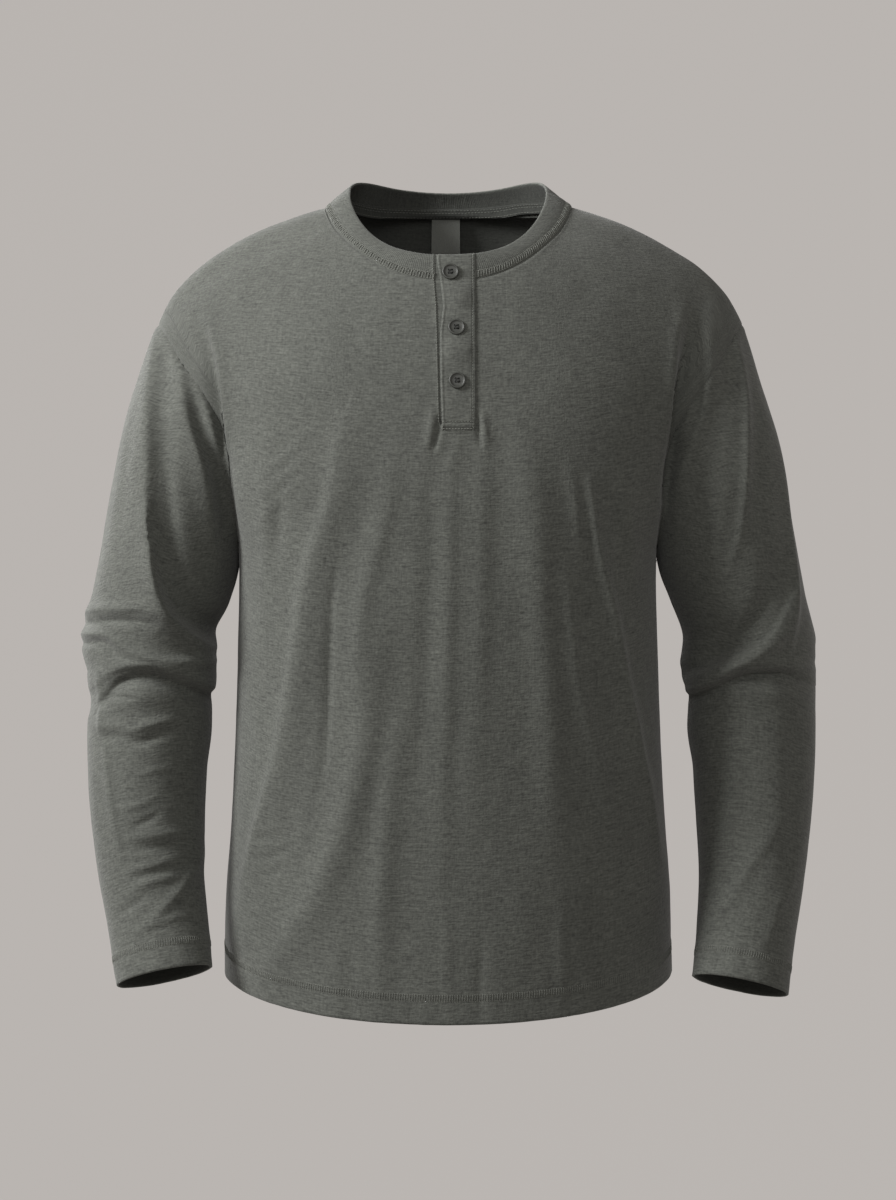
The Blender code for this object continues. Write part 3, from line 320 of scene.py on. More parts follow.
# what is rolled forward at the inner elbows, towards the viewer instead of along the normals
SLEEVE_ROLLS = (
    (20, 15, 17, 0.66, 0.3, ((-256, -300), (-254, -322), (-248, -345), (-240, -361), (-226, -374),
        (-214, -384), (-203, -394), (-190, -408), (-170, -430), (-140, -460), (-100, -500))),
    (9, 8, 12, -0.5, 0.3, ((300, -344), (292, -361), (281, -378), (266, -390), (251, -398), (236, -406),
        (221, -413), (205, -422), (188, -433), (150, -456))),
)
SLEEVE_BACK_FOLDS = (
    (-4, 9, 10, 0.1, 0.1, ((-246, -140), (-254, -210), (-254, -280), (-242, -340))),
    (3.4, 7, 8, 0.2, 0.2, ((-262, -150), (-272, -220), (-276, -290), (-270, -350))),
    (-2, 7, 8, 0, 0, ((-288, -180), (-294, -250), (-300, -330))),
    (5, 8, 9, 0.3, 0.3, ((-334, -394), (-300, -386), (-262, -376), (-222, -378), (-196, -392))),
    (-6.2, 5, 7, -0.3, 0.3, ((-332, -416), (-300, -404), (-262, -394), (-222, -397), (-196, -408))),
    (3.6, 7, 7, 0, 0.2, ((-330, -430), (-296, -420), (-256, -414), (-220, -422))),
    (-4, 5, 6, 0.2, 0.2, ((-320, -446), (-292, -436), (-262, -434), (-232, -444))),
    (2.4, 6, 7, 0, 0.1, ((-312, -470), (-284, -460), (-250, -462), (-226, -472))),
    (-2.4, 7, 9, 0, 0, ((-300, -490), (-290, -540), (-270, -600), (-252, -650))),
    (2, 6, 7, 0.1, 0.1, ((-222, -510), (-236, -560), (-258, -610))),
    (-1.6, 5, 6, 0, 0.1, ((-284, -560), (-262, -552), (-236, -556))),
    (-4, 9, 10, -0.1, 0.1, ((244, -144), (256, -214), (260, -280), (250, -340))),
    (3.2, 7, 8, -0.2, 0.2, ((262, -160), (274, -226), (280, -300), (276, -350))),
    (-2, 7, 8, 0, 0, ((286, -190), (296, -260), (302, -336))),
    (5, 8, 9, 0.3, 0.3, ((334, -382), (300, -384), (264, -390), (230, -398), (204, -406))),
    (-6.2, 5, 7, -0.3, 0.3, ((332, -404), (300, -402), (264, -408), (230, -416), (206, -426))),
    (3.4, 7, 7, 0, 0.2, ((328, -424), (296, -422), (262, -428), (226, -436))),
    (-3.6, 5, 6, 0.2, 0.2, ((318, -446), (290, -442), (258, -448), (234, -456))),
    (2.2, 6, 7, 0, 0.1, ((314, -470), (286, -464), (256, -470), (230, -482))),
    (-2.4, 7, 9, 0, 0, ((306, -500), (298, -550), (280, -606), (262, -656))),
    (2, 6, 7, 0.1, 0.1, ((232, -520), (244, -570), (262, -616))),
)
FACING_SLOPE = 0.7       # how soon the front's folds give way to the back's
FOLD_STEPS = 28          # points to which each fold's line is cut
FOLD_REACH = 3           # half widths within which a fold is felt
CREST_FALL, CREST_BLUNT = 1.5, 0.05
TAPER_START, TAPER_SPAN, TAPER_POWER = 0.04, 0.92, 0.7    # how its height fades at both ends
CALM = 8.0               # a piece's own folds fade out over this distance from an armhole
UNEVEN = (((46, 60, 90), 0.7, 11), ((20, 26, 40), 0.35, 12), ((9, 11, 14), 0.12, 13))

# ---- seams ----
SEAM_DEPTH, SEAM_WIDTH = 0.55, 1.3           # a seam's groove
ALLOWANCE, ALLOWANCE_AT, ALLOWANCE_WIDTH = 0.30, 4.0, 2.4    # the turned edge under the cloth
FAIR_STEPS, FAIR_ROUNDS, FAIR_FADE = 14, 120, 12   # how an armhole is smoothed over
PIT_ROWS, PIT_COLUMNS, PIT_ROUNDS = 30, 8, 150     # how the armpits' height is smoothed
STITCH_ROWS = 5.4        # between the two rows of a hem's cover stitch
HEM_PULL, HEM_PULL_WIDTH = 0.04, 1.4
HEM_FADE, HEM_CLOTH_ABOVE = 4.0, 3.0     # how a hem thins out over its cover stitch
HEM_PUCKER, HEM_PUCKER_SIZE, HEM_PUCKER_SEED = 0.30, (7.0, 9.0, 26.0), 71
HEM_SKEW = (0.4, 0.4, 0.0)               # how its puckers lean
PUCKER_ABOVE, PUCKER_FADE = 8.0, 10.0
EDGE_AT = 1.1            # the turned edges' distance from the placket's opening, and their width

# ---- the neckband
BAND_ROWS_EVEN = 60      # even rows from which its rows are read
BAND_SEAM_FADE = 0.5
BAND_STITCH = (1.6, 6.8)    # heights of its two rows of stitches
BAND_STITCH_PULL, BAND_STITCH_WIDTH = 0.18, 0.9
BAND_WAVE, BAND_WAVE_SIZE, BAND_WAVE_SEED = 0.25, (16, 16, 12), 51
BAND_END, BAND_END_REACH = 2.6, 30.0    # how far its right end is drawn out at the top
RIB_RISE, RIB_PITCH = 0.16, 1.7
RIB_FOOT, RIB_TOP, RIB_TOP_FADE = 2.5, 1.0, 2.0    # where the ribs fade out

# ---- placket: an edge is a line of (height, x)
CHEST_REACH = 45.0
CHEST_HEIGHTS = (-240.0, -40.0)
CHEST_INSET, CHEST_CELL = 5, (0.5, 0.7)
LAST_CELL = 1.001        # keeps a place inside the last cell
CHEST_SLOPE = 2          # the distance over which its slope is read
FREE_EDGE = ((-206.3, -6.0), (-200, -5.0), (-165, -6.3), (-123, -6.7), (-100, -4.2), (-75, -6.8),
             (-62, -9.2), (-54, -9.4))
SEWN_EDGE = ((-206.3, 23.2), (-50, 23.2))
BODY_OPENING = ((-206, -6.6), (-199, -6.8), (-150, -7.9), (-120, -8.7), (-100, -9.3), (-80, -11.0),
                (-61, -12.0), (-50, -12.2))
BODY_SHIFT = 18.0        # over which the cloth beside the opening makes up for its slant
UNDER_EDGE = ((-300, 15.0), (0, 15.0))
UNDER_SINK, UNDER_GAP = 0.15, 0.06
UNDER_FOOT, UNDER_CELL = -206.0, (1.0, 1.4)
UNDER_BEHIND, UNDER_FADE = 5, 3          # at the opening's foot it goes behind the front
STRIP_FOOT, BOX_TOP = -206.3, -199.6
STRIP_LIFT, STRIP_CELL = 0.3, (0.7, 1.0)
STRIP_STITCH = 2.4       # the stitch's distance from the sewn edge
STRIP_RELIEF = (         # (edge, distance from it, height, width)
    ("free", 0.0, -0.7, 0.6), ("free", 1.5, 0.5, 0.8),
    ("sewn", 0.0, -1.1, 0.5), ("sewn", STRIP_STITCH, -0.5, 0.6),
    ("box", 0.0, -0.7, 0.8), ("foot", 0.0, -1.5, 2.6), ("top", 0.0, -0.5, 0.8),
)
STRIP_WAVE, STRIP_WAVE_SIZE, STRIP_WAVE_SEED = 0.25, (9, 14, 1), 41
SAG, SAG_WIDTH, SAG_FLAT = 0.35, 6.5, 0.9         # how the strip gives way under a button
GAPE, GAPE_HEIGHT, GAPE_ACROSS, GAPE_OVER = 2.4, 13, 28, 2    # and swells between two
PLACKET_STITCH, PLACKET_PITCH = 0.3, 2.4          # a thread's radius and the stitches' pitch
STITCH_POINTS = 160
STITCH_SINK = 0.3        # how far the threads lie in the strip
FREE_STITCH, FOOT_STITCH, BOX_STITCH, TOP_STITCH = 1.6, 1.2, 0.6, 1.0    # distances from edges
OPENING_FOOT = -200.0
OPENING_ROWS = 120       # the front's rows above this are slid
OPENING_COLUMNS_NEAR = 6
BODY_EDGE = 0.5          # the turned edge beside the opening
BODY_EDGE_FADE = 6
BODY_STITCH = 1.2        # how far from the opening it is stitched

# ---- buttons: the profile is (radius, height), from the back round to the dish
BUTTON_RADIUS = 7.1
BUTTON_PROFILE = ((6.3, 0.0), (6.8, 0.1), (7.1, 0.5), (7.1, 1.2), (6.95, 1.7), (6.6, 2.0),
                  (6.2, 2.1), (5.8, 2.0), (5.5, 1.7), (5.3, 1.35), (5.0, 1.2), (3.2, 1.1))
BUTTON_STEPS = 64
BUTTON_SHARP = 38.0      # as SHARP
BUTTON_CLEAR = 0.1
RIM_POINTS = 24          # places round the rim at which the cloth under it is read
HOLE, HOLE_RING, HOLE_SIDES, HOLE_DEPTH = 0.95, 1.95, 20, 12
HOLE_PAIRS = ((0, 1), (2, 3), (1, 2), (3, 0))     # holes that a thread joins
BUTTON_STITCH, BUTTON_STITCH_ASIDE = 0.3, (-0.22, 0.22)
BUTTON_ARCH = ((0.0, -1.2), (0.06, 0.1), (0.3, 0.45), (0.7, 0.45), (0.94, 0.1), (1.0, -1.2))

# ---- inside the neck
SEAM_ROWS = 60                        # of the back and of the band, on both sides of their seam
TAPE_WIDTH, TAPE_INSIDE, TAPE_LEAN = 9.4, 1.9, 1.6
TAPE_TOP, TAPE_HIGHEST = 5.6, 14.0    # its top edge's height over the seam, in the middle and at most
TAPE_SWEEP = (0.0017, 0.0010)         # how it rises to the wearer's left and right
TAPE_CALM = 90                        # rounds that smooth it along its length
TAPE_TURN = 7.0                       # over this height it turns from the back to the band
TAPE_STITCHES = (1.6, 6.4, 8.6)       # over its lower edge
TAPE_STITCH, TAPE_PITCH = 0.22, 3.0
TAPE_COLUMNS, TAPE_ROWS = 320, 12
TAPE_ENDS = (1.5, 2.5)                # columns of the neck that it leaves free
LABEL_TUCK, LABEL_HANG = 0.9, 0.6     # how far behind the tape it starts, and how freely it hangs
LABEL_MIDDLE, LABEL_HALF, LABEL_CLOTH = -2.0, 13.2, 0.7
LABEL_HEIGHTS = (-42.0, -2.4)         # over the neckline
LABEL_COLUMNS, LABEL_ROWS = 28, 20

# ---- threads
THREAD_SIDE = np.array([0.31, 0.87, 0.38])    # no thread runs this way
THREAD_END, THREAD_SIDES = 0.5, 5
RUNNING_START, RUNNING_SHARE = 0.08, 0.84     # of a straight stitch in its pitch
RUNNING_RISES = (-0.6, 0.9, 0.9, -0.6)        # in radii
LOOPER_START = 0.3
LOOPER = ((0, 0.0, -0.3), (0, 0.12, 1.0), (1, 0.5, 1.1), (2, 0.88, 1.0),    # row, share of its
          (2, 1.0, -0.3))                                                   # slant, rise in radii
HEM_EDGE_ROWS = 40                            # this many rows at a piece's edge hold its hem
HEM_STITCHES = (2.1, 0.17, 0.25)              # pitch, radius and slant in pitches
BAND_STITCHES = (2.6, 0.28, 0.7)

# ---- looks. A streak is (size around the cloth, size along it, share of the whole), and a
# knit is (colour, roughness, sheen, streaks, contrast, bump).
JERSEY = (0.082, 0.086, 0.075)
# painted shade: the cloth's inside is 0.6 times as dark as its outside, for the shade that falls inside
# the shirt
PAINTED_SHADE_INSIDE = tuple(0.6 * part for part in JERSEY)
LABEL = (0.140, 0.145, 0.130)
# painted shade: the tape is made darker than the jersey, for the shade inside the back neck
TAPE = (0.036, 0.038, 0.033)
BUTTON, BUTTON_ROUGHNESS = (0.040, 0.042, 0.036), 0.5
BUTTON_THREAD, BUTTON_THREAD_ROUGHNESS = (0.012, 0.013, 0.011), 0.8
THREAD, THREAD_ROUGHNESS = (0.165, 0.170, 0.150), 0.7
JERSEY_STREAKS = ((11.0, 1.5, 0.32), (30.0, 3.0, 0.14), (3.4, 1.6, 0.34), (1.8, 7.0, 0.20))
RIB_STREAKS = ((1.8, 9.0, 0.5), (3.2, 1.6, 0.5))
LABEL_STREAKS = ((0.5, 3.0, 0.5), (2.0, 0.5, 0.5))
KNITS = {
    "jersey": (JERSEY, 0.88, 0.18, JERSEY_STREAKS, 0.55, 0.6),
    "rib": (JERSEY, 0.88, 0.18, RIB_STREAKS, 0.40, 0.4),
    # the insides: the same knits painted darker, as shade
    "jersey_inside_painted_shade": (PAINTED_SHADE_INSIDE, 0.92, 0.1, JERSEY_STREAKS, 0.3, 0.4),
    "rib_inside_painted_shade": (PAINTED_SHADE_INSIDE, 0.92, 0.1, RIB_STREAKS, 0.3, 0.4),
    "label": (LABEL, 0.75, 0.1, LABEL_STREAKS, 0.15, 0.12),
    # the tape's knit, painted dark as shade
    "tape": (TAPE, 0.92, 0.1, RIB_STREAKS, 0.3, 0.4),
}
STREAK_DETAIL = {"Scale": 1.0, "Detail": 1.5, "Roughness": 0.55}
STREAK_STEP = (3.7, 1.9)       # how far each kind of streak is moved from the one before it
PATCH_DETAIL, PATCHES = {"Scale": 14.0, "Detail": 2.0}, 0.05    # large faint patches
MOTTLE_DETAIL, MOTTLE = {"Scale": 900.0, "Detail": 2.0}, 0.15   # in the buttons
NOISE_LOW, NOISE_HIGH = 0.3, 0.7    # between these most of a noise texture lies

# ---- stage, in metres
FLOOR, STAGE_REACH, STAGE_BEND, STAGE_TOP = -2.6, 5.2, 2.0, 9.0
FLOOR_MIDDLE = 2.0       # the radius of the floor's middle face
STAGE_STEPS, BEND_STEPS = 96, 12
STAGE_COLOUR = (0.10, 0.10, 0.10)
STAGE_GLOW = 0.95
BACKDROP = (0.474, 0.446, 0.424)
AIM = (0.0, 0.0, -0.3)
LIGHTS = (("key", (-2.49, -1.0, 1.25), 1.0, 131.0), ("front", (0.0, -3.0, 1.2), 1.4, 19.0),
          ("back", (-2.1, 2.1, 1.4), 1.2, 66.0))
ROOM = 0.585             # the light that comes from all sides, next to the backdrop's tone
CAMERA = (0.0, -2.2, -0.348)
LENS, SENSOR = 74.58, 36.0    # in millimetres


# ---------------------------------------------------------------- curves

def unit(vectors):
    """Vectors made 1 long; a zero vector stays as it is."""
    length = np.linalg.norm(vectors, axis=-1, keepdims=True)
    return vectors / np.where(length > 0, length, 1)


def ease(share):
    """0 to 1 with level ends."""
    share = np.clip(share, 0, 1)
    return share * share * (3 - 2 * share)


def smooth_curve(knots, values, at):
    """Points of a curve through values, which stand at the knots. It goes past none of them."""
    knots, values, at = np.asarray(knots, float), np.asarray(values, float), np.asarray(at, float)
    flat = values.reshape(len(knots), -1)
    step = np.diff(knots)[:, None]
    rise = np.diff(flat, axis=0) / step
    before, after = rise[:-1], rise[1:]
    alike = before * after > 0
    slope = np.concatenate([rise[:1], np.zeros_like(before), rise[-1:]])
    slope[1:-1][alike] = (2 * before * after)[alike] / (before + after)[alike]
    i = np.clip(np.searchsorted(knots, at, side="right") - 1, 0, len(step) - 1)
    t = ((at - knots[i])[:, None]) / step[i]
    curve = ((1 + 2 * t) * (1 - t) ** 2 * flat[i] + t * t * (3 - 2 * t) * flat[i + 1]
             + step[i] * t * (1 - t) * ((1 - t) * slope[i] - t * slope[i + 1]))
    return curve.reshape(len(at), *values.shape[1:])


def through(points, count):
    """count points along a round curve through the given ones."""
    p = np.asarray(points, float)
    p = np.vstack([2 * p[0] - p[1], p, 2 * p[-1] - p[-2]])
    at = np.linspace(0, len(p) - 3, count)
    i = np.minimum(at.astype(int), len(p) - 4)
    t = (at - i)[:, None]
    a, b, c, d = p[i], p[i + 1], p[i + 2], p[i + 3]
    return 0.5 * (2 * b + (c - a) * t + (2 * a - 5 * b + 4 * c - d) * t ** 2
                  + (3 * b - a - 3 * c + d) * t ** 3)


def run_length(line):
    """The distance from the start of a line to each of its points."""
    steps = np.linalg.norm(np.diff(line, axis=0), axis=-1)
    return np.concatenate([np.zeros_like(steps[:1]), np.cumsum(steps, axis=0)])


def respaced(line, count):
    """A line cut to count evenly spaced points."""
    run = run_length(line)
    at = np.linspace(0, run[-1], count)
    return np.stack([np.interp(at, run, line[:, i]) for i in range(line.shape[1])], axis=1)


def lattice_noise(points, size, seed):
    """Smooth noise from -1 to 1 at points in space. size is that of its lumps along x, y, z."""
    table = np.random.default_rng(seed).uniform(-1, 1, NOISE_SIZE)
    p = points / np.asarray(size, float)
    cell = np.floor(p).astype(int)
    share = ease(p - cell)
    total = np.zeros(points.shape[:-1])
    for corner in np.ndindex(2, 2, 2):
        bit = np.array(corner[::-1])
        key = np.bitwise_xor.reduce((cell + bit) * NOISE_PRIMES, axis=-1) % NOISE_SIZE
        total += np.prod(np.where(bit == 1, share, 1 - share), axis=-1) * table[key]
    return total


def bell(distance, width):
    """1 at no distance, fading to nothing over about twice the width."""
    return np.exp(-(distance / width) ** 2)


def sample(up, heights, *grids):
    """Each grid's points at heights in its columns, where up is how high its rows are."""
    up, heights = (np.broadcast_to(a, (len(a), grids[0].shape[1])) for a in (up, heights))
    return [np.stack([np.stack([np.interp(heights[:, c], up[:, c], grid[:, c, i])
                                for i in range(3)], axis=1)
                      for c in range(grid.shape[1])], axis=1) for grid in grids]


def even_out(grid, pull, rounds):
    """Evens out the bends along a grid's columns, by pull at each point between the ends."""
    size = np.linalg.norm(np.diff(grid, axis=0), axis=2)[..., None]
    before = size[1:] / (size[1:] + size[:-1])
    for _ in range(rounds):
        between = before * grid[:-2] + (1 - before) * grid[2:]
        grid[1:-1] += pull * (between - grid[1:-1])


def turned(profile, steps):
    """Points and faces of the surface that a profile of (radius, height) leaves round z."""
    turn = np.arange(steps) * 2 * math.pi / steps
    points = [(r * math.cos(a), r * math.sin(a), height) for r, height in profile for a in turn]
    faces = [(k * steps + i, k * steps + (i + 1) % steps,
              (k + 1) * steps + (i + 1) % steps, (k + 1) * steps + i)
             for k in range(len(profile) - 1) for i in range(steps)]
    return points, faces


# ---------------------------------------------------------------- the body

def section_points(row, across, backward):
    """A section at the places across, which run from 0 in the middle to 1 at the edge."""
    s = dict(zip(SECTION_NAMES, row))
    turn, drop = math.radians(s["turn"]), math.radians(s["drop"])
    heading = np.array([math.cos(turn) * math.cos(drop),
                        backward * math.sin(turn) * math.cos(drop), -math.sin(drop)])
    middle = np.array([0.0, s["mid_y"], s["mid_z"]])
    edge = np.array([s["edge_x"], s["edge_y"], s["edge_z"]])
    near = middle + np.array([s["mid_reach"], 0, 0])
    far = edge - s["edge_reach"] * heading
    t = np.asarray(across, float)[:, None]
    return ((1 - t) ** 3 * middle + 3 * (1 - t) ** 2 * t * near
            + 3 * (1 - t) * t ** 2 * far + t ** 3 * edge)


def section_grid(table, across, backward):
    """Every section of a table at the signed places across, as sections x places x 3."""
    grid = np.array([section_points(row, np.abs(across), backward) for row in table.values()])
    grid[:, :, 0] *= np.where(np.asarray(across) < 0, -1.0, 1.0)
    return grid


def section_knots():
    """How far up the cloth each section lies, the same for the front and the back."""
    places = np.linspace(0, 1, KNOT_PLACES)
    steps = [np.linalg.norm(np.diff(section_grid(table, places, sign), axis=0), axis=2).mean(axis=1)
             for table, sign in ((FRONT_SECTIONS, 1), (BACK_SECTIONS, -1))]
    return np.concatenate([[0.0], np.cumsum(np.mean(steps, axis=0))])


KNOTS = section_knots()
TOP = KNOTS[-1]


def across_of(x, row=FRONT_SECTIONS["ridge"]):
    """The place across at which a section is x from the middle of the body."""
    places = np.linspace(0, 1, FIND_PLACES)
    return float(np.sign(x) * np.interp(abs(x), section_points(row, places, 1)[:, 0], places))


NECK_ACROSS = across_of(NECK_HALF)


def neckline(across, neck_section):
    """How far up the cloth the neckline crosses each place across; TOP beyond the neck."""
    inside = np.clip(1 - (np.asarray(across, float) / NECK_ACROSS) ** 2, 0, 1)
    return TOP - (TOP - KNOTS[neck_section]) * np.sqrt(inside)


def closing(length, count):
    """count + 1 places from 0 to length, which stand close together near length."""
    even = np.linspace(0, length - CLOSE[0], count + 1 - len(CLOSE))
    return np.concatenate([even, length - np.array(CLOSE[1:]), [length]])


def columns():
    """Places across of the body's columns, and the two columns at which the opening lies."""
    collar = FRONT_SECTIONS["collar"]
    waist = np.linspace(NECK_ACROSS, 1, WAIST_PLACES)
    run = run_length(section_points(FRONT_SECTIONS["waist"], waist, 1))
    shoulder = np.interp(closing(run[-1], SHOULDER_COLUMNS), run, waist)[::-1]
    shoulder[-1] = NECK_ACROSS
    spread = np.sin(np.linspace(math.pi / 2, 0, NECK_COLUMNS + 1))[1:]

    def from_neck(opening):
        """Places across from the neck's side in to an edge of the opening."""
        beside = across_of(opening + BESIDE, collar)
        wide = beside + (NECK_ACROSS - beside) * spread
        steps = opening + BESIDE - closing(BESIDE, BESIDE_COLUMNS)[1:]
        close = np.array([across_of(x, collar) for x in steps])
        return np.concatenate([wide, close])

    on_right, on_left = from_neck(-OPENING_RIGHT), from_neck(OPENING_LEFT)
    between = np.linspace(-on_right[-1], on_left[-1], OPENING_COLUMNS + 1)[1:-1]
    across = np.concatenate([-shoulder, -on_right, between, on_left[::-1], shoulder[::-1]])
    first = len(shoulder) + len(on_right) - 1
    return across, (first, first + OPENING_COLUMNS)


def body_curves(across):
    """Knots and values of one curve for each place across: up the front, over the
    shoulder and down the back, through every section."""
    front = section_grid(FRONT_SECTIONS, across, 1)
    back = section_grid(BACK_SECTIONS, across, -1)
    return (np.concatenate([KNOTS, 2 * TOP - KNOTS[-2::-1]]),
            np.concatenate([front, back[-2::-1]]))


def body_panel(is_front, rows, across):
    """A panel's points as rows x columns x 3, squeezed so that its top row is the neckline."""
    knots, curves = body_curves(across)
    calm = KNOTS[ARMPIT]
    top = neckline(across, FRONT_NECK if is_front else BACK_NECK)
    panel = np.empty((len(rows), len(across), 3))
    for c in range(len(across)):
        up = np.where(rows > calm, calm + (rows - calm) * (top[c] - calm) / (TOP - calm), rows)
        panel[:, c] = smooth_curve(knots, curves[:, c], up if is_front else 2 * TOP - up)
    rise = np.clip(1 + (panel[:, :, 2] - SHIFT_TOP) / SHIFT_REACH, 0, 1)
    panel[:, :, 0] += SHOULDER_SHIFT * rise * across ** 2
    return panel


def close_side_seams(front, back, across, armpit_row):
    """Makes the front's and the back's edges one line from the hem to the armpit. The pull
    that this takes fades out over the rows above."""
    above = np.arange(1, SIDE_FADE + 1)
    fade = ease(1 - above / SIDE_FADE)[:, None]
    rows = armpit_row + SIDE_FADE + 1
    for column in (0, -1):
        middle = (front[:armpit_row + 1, column] + back[:armpit_row + 1, column]) / 2
        near = np.where(np.sign(across) == np.sign(across[column]), np.abs(across) ** SIDE_PULL, 0)
        for panel in (front, back):
            off = middle - panel[:armpit_row + 1, column]
            off = np.concatenate([off, off[-1] * fade])
            panel[:rows] += near[None, :, None] * off[:, None]


# ---------------------------------------------------------------- sleeves and neckband

def ring_points(ring, side, angles):
    """A sleeve's ring at angles that start under the arm and go round by the front."""
    r = dict(zip(RING_NAMES, ring))
    name, sign = ("left", 1) if side > 0 else ("right", -1)
    inner, outer, z = (r[name + end] for end in ("_in", "_out", "_z"))
    middle, half = (inner + outer) / 2, (outer - inner) / 2
    depth_middle, depth = (r["front_y"] + r["back_y"]) / 2, (r["back_y"] - r["front_y"]) / 2
    inward, forward = np.cos(angles), np.sin(angles)
    return np.stack([sign * (middle - half * inward),
                     depth_middle - depth * forward,
                     z + (r["inner_rise"] * inward + r["front_rise"] * forward) / 2], axis=1)


def sleeve(armhole, side):
    """A sleeve's points as rows x places round, from the armhole to the cuff's edge."""
    half = len(armhole) // 2
    along = np.linalg.norm(np.diff(np.vstack([armhole, armhole[:1]]), axis=0), axis=1)
    front, back = np.cumsum(along[:half]), np.cumsum(along[half:])
    angles = np.concatenate([[0], front / front[-1], 1 + back / back[-1]])[:-1] * math.pi
    lines = np.array([armhole] + [ring_points(ring, side, angles) for ring in SLEEVE_RINGS])
    grid = []
    for line in lines.transpose(1, 0, 2):
        knots = run_length(line)
        low = knots[-1] - HEM_ZONE
        places, last = [[0.0]], 0.0
        for ring, count in SLEEVE_ROWS:
            end = min(knots[ring], low)
            if last == 0:
                places.append(end - closing(end, count)[-2::-1])
            else:
                places.append(np.linspace(last, end, count + 1)[1:])
            last = end
        places.append(np.linspace(low, knots[-1], HEM_ROWS + 1)[1:])
        grid.append(smooth_curve(knots, line, np.concatenate(places)))
    return np.array(grid).transpose(1, 0, 2)


def band_edge(points):
    """The neckband's top edge over each point of the neckline."""
    side = np.clip(points[:, 0] / NECK_HALF, -1, 1)
    turn = np.arccos(np.sqrt(1 - side ** 2) * np.where(points[:, 1] < NECK_SIDE_Y, 1, -1))
    y, z = (sum(size * np.cos(k * turn) for k, size in enumerate(waves))
            for waves in (BAND_EDGE_Y, BAND_EDGE_Z))
    return np.stack([BAND_EDGE_X * side, y, z], axis=1)


def band_rows(foot, rows):
    """The neckband's points as rows x places, up from the neckline."""
    edge = band_edge(foot)
    near_end = (foot[:, 0] < 0) & (foot[:, 1] < NECK_SIDE_Y)
    edge[:, 0] -= BAND_END * ease(1 + (foot[:, 0] - OPENING_RIGHT) / BAND_END_REACH) * near_end
    out = unit(foot - np.array(BAND_CENTRE))
    up = np.linspace(0, 1, rows + 1)[:, None, None]
    return foot + (edge - foot) * up + out * BAND_BULGE * np.sin(math.pi * up)


# ---------------------------------------------------------------- grids

def grid_normals(grid, wraps=False, flip=False):
    """Outward normals of a grid's points."""
    up = np.gradient(grid, axis=0)
    side = np.roll(grid, -1, 1) - np.roll(grid, 1, 1) if wraps else np.gradient(grid, axis=1)
    out = unit(np.cross(unit(side), unit(up)))
    return -out if flip else out


def smooth_armpits(panel, armpit_row):
    """Evens out the bend in the cloth at the height of the armpits, but not at its edges."""
    rows = np.arange(panel.shape[0])
    near = ease(1 - np.abs(rows - armpit_row) / PIT_ROWS)[1:-1, None]
    cols = np.arange(panel.shape[1])
    inside = ease(np.minimum(cols, cols[-1] - cols) / PIT_COLUMNS)[None]
    even_out(panel, (EVEN_PULL * near * inside)[..., None], PIT_ROUNDS)


class Skin:
    """Grids whose edges meet point on point, with normals that agree across their seams."""

    def __init__(self):
        self.grids, self.wraps, self.flip = {}, {}, {}

    def add(self, name, grid, wraps=False, flip=False):
        """Takes a piece in. wraps is for a tube, and flip turns its outside over."""
        self.grids[name], self.wraps[name], self.flip[name] = grid, wraps, flip

    def weld(self):
        """Numbers the points that pieces share along their edges."""
        self.edge = {}
        points, start = [], 0
        for name, grid in self.grids.items():
            mask = np.zeros(grid.shape[:2], bool)
            mask[[0, -1]] = True
            if not self.wraps[name]:
                mask[:, [0, -1]] = True
            place = np.argwhere(mask)
            self.edge[name] = (place[:, 0], place[:, 1], slice(start, start + len(place)))
            points.append(grid[mask])
            start += len(place)
        _, number = np.unique(np.round(np.concatenate(points), 2), axis=0, return_inverse=True)
        self.number = number.reshape(-1)
        self.count = self.number.max() + 1

    def shared(self, values):
        """Makes values, a grid for each piece, the mean of theirs where pieces meet."""
        total, many = np.zeros((self.count, 3)), np.zeros(self.count)
        for name, (r, c, part) in self.edge.items():
            np.add.at(total, self.number[part], values[name][r, c])
            np.add.at(many, self.number[part], 1)
        total /= many[:, None]
        for name, (r, c, part) in self.edge.items():
            values[name][r, c] = total[self.number[part]]
        return values

    def normals(self):
        """Outward normals of every piece, the same where pieces meet."""
        found = {n: grid_normals(g, self.wraps[n], self.flip[n]) for n, g in self.grids.items()}
        return {name: unit(out) for name, out in self.shared(found).items()}


def fair_armhole(front, back, sleeve_grid, column, armpit_row):
    """Smooths the cloth over an armhole seam, along lines that cross it."""
    steps = np.arange(1, FAIR_STEPS + 1)
    inward = steps if column == 0 else -1 - steps
    lines = [(front, r) for r in range(armpit_row, front.shape[0])]
    top = len(lines) - 1
    lines += [(back, r) for r in range(back.shape[0] - 2, armpit_row, -1)]
    body = np.array([np.concatenate([panel[r, inward][::-1], panel[r, [column]]])
                     for panel, r in lines]).transpose(1, 0, 2)
    grid = np.concatenate([body, sleeve_grid[1:FAIR_STEPS + 1]])
    number = np.arange(len(lines))
    from_pit = np.minimum(number, len(lines) - number)
    near = ease(1 - np.abs(np.arange(1 - FAIR_STEPS, FAIR_STEPS)) / FAIR_STEPS)
    even_out(grid, EVEN_PULL * ease(from_pit / FAIR_FADE)[:, None] * near[:, None, None],
             FAIR_ROUNDS)
    for (panel, r), points in zip(lines, grid.transpose(1, 0, 2)):
        panel[r, inward] = points[:FAIR_STEPS][::-1]
        panel[r, column] = points[FAIR_STEPS]
    back[-1, inward] = grid[:FAIR_STEPS, top][::-1]    # the shoulder seam is in both panels
    back[-1, column] = grid[FAIR_STEPS, top]
    sleeve_grid[:FAIR_STEPS + 1] = grid[FAIR_STEPS:]


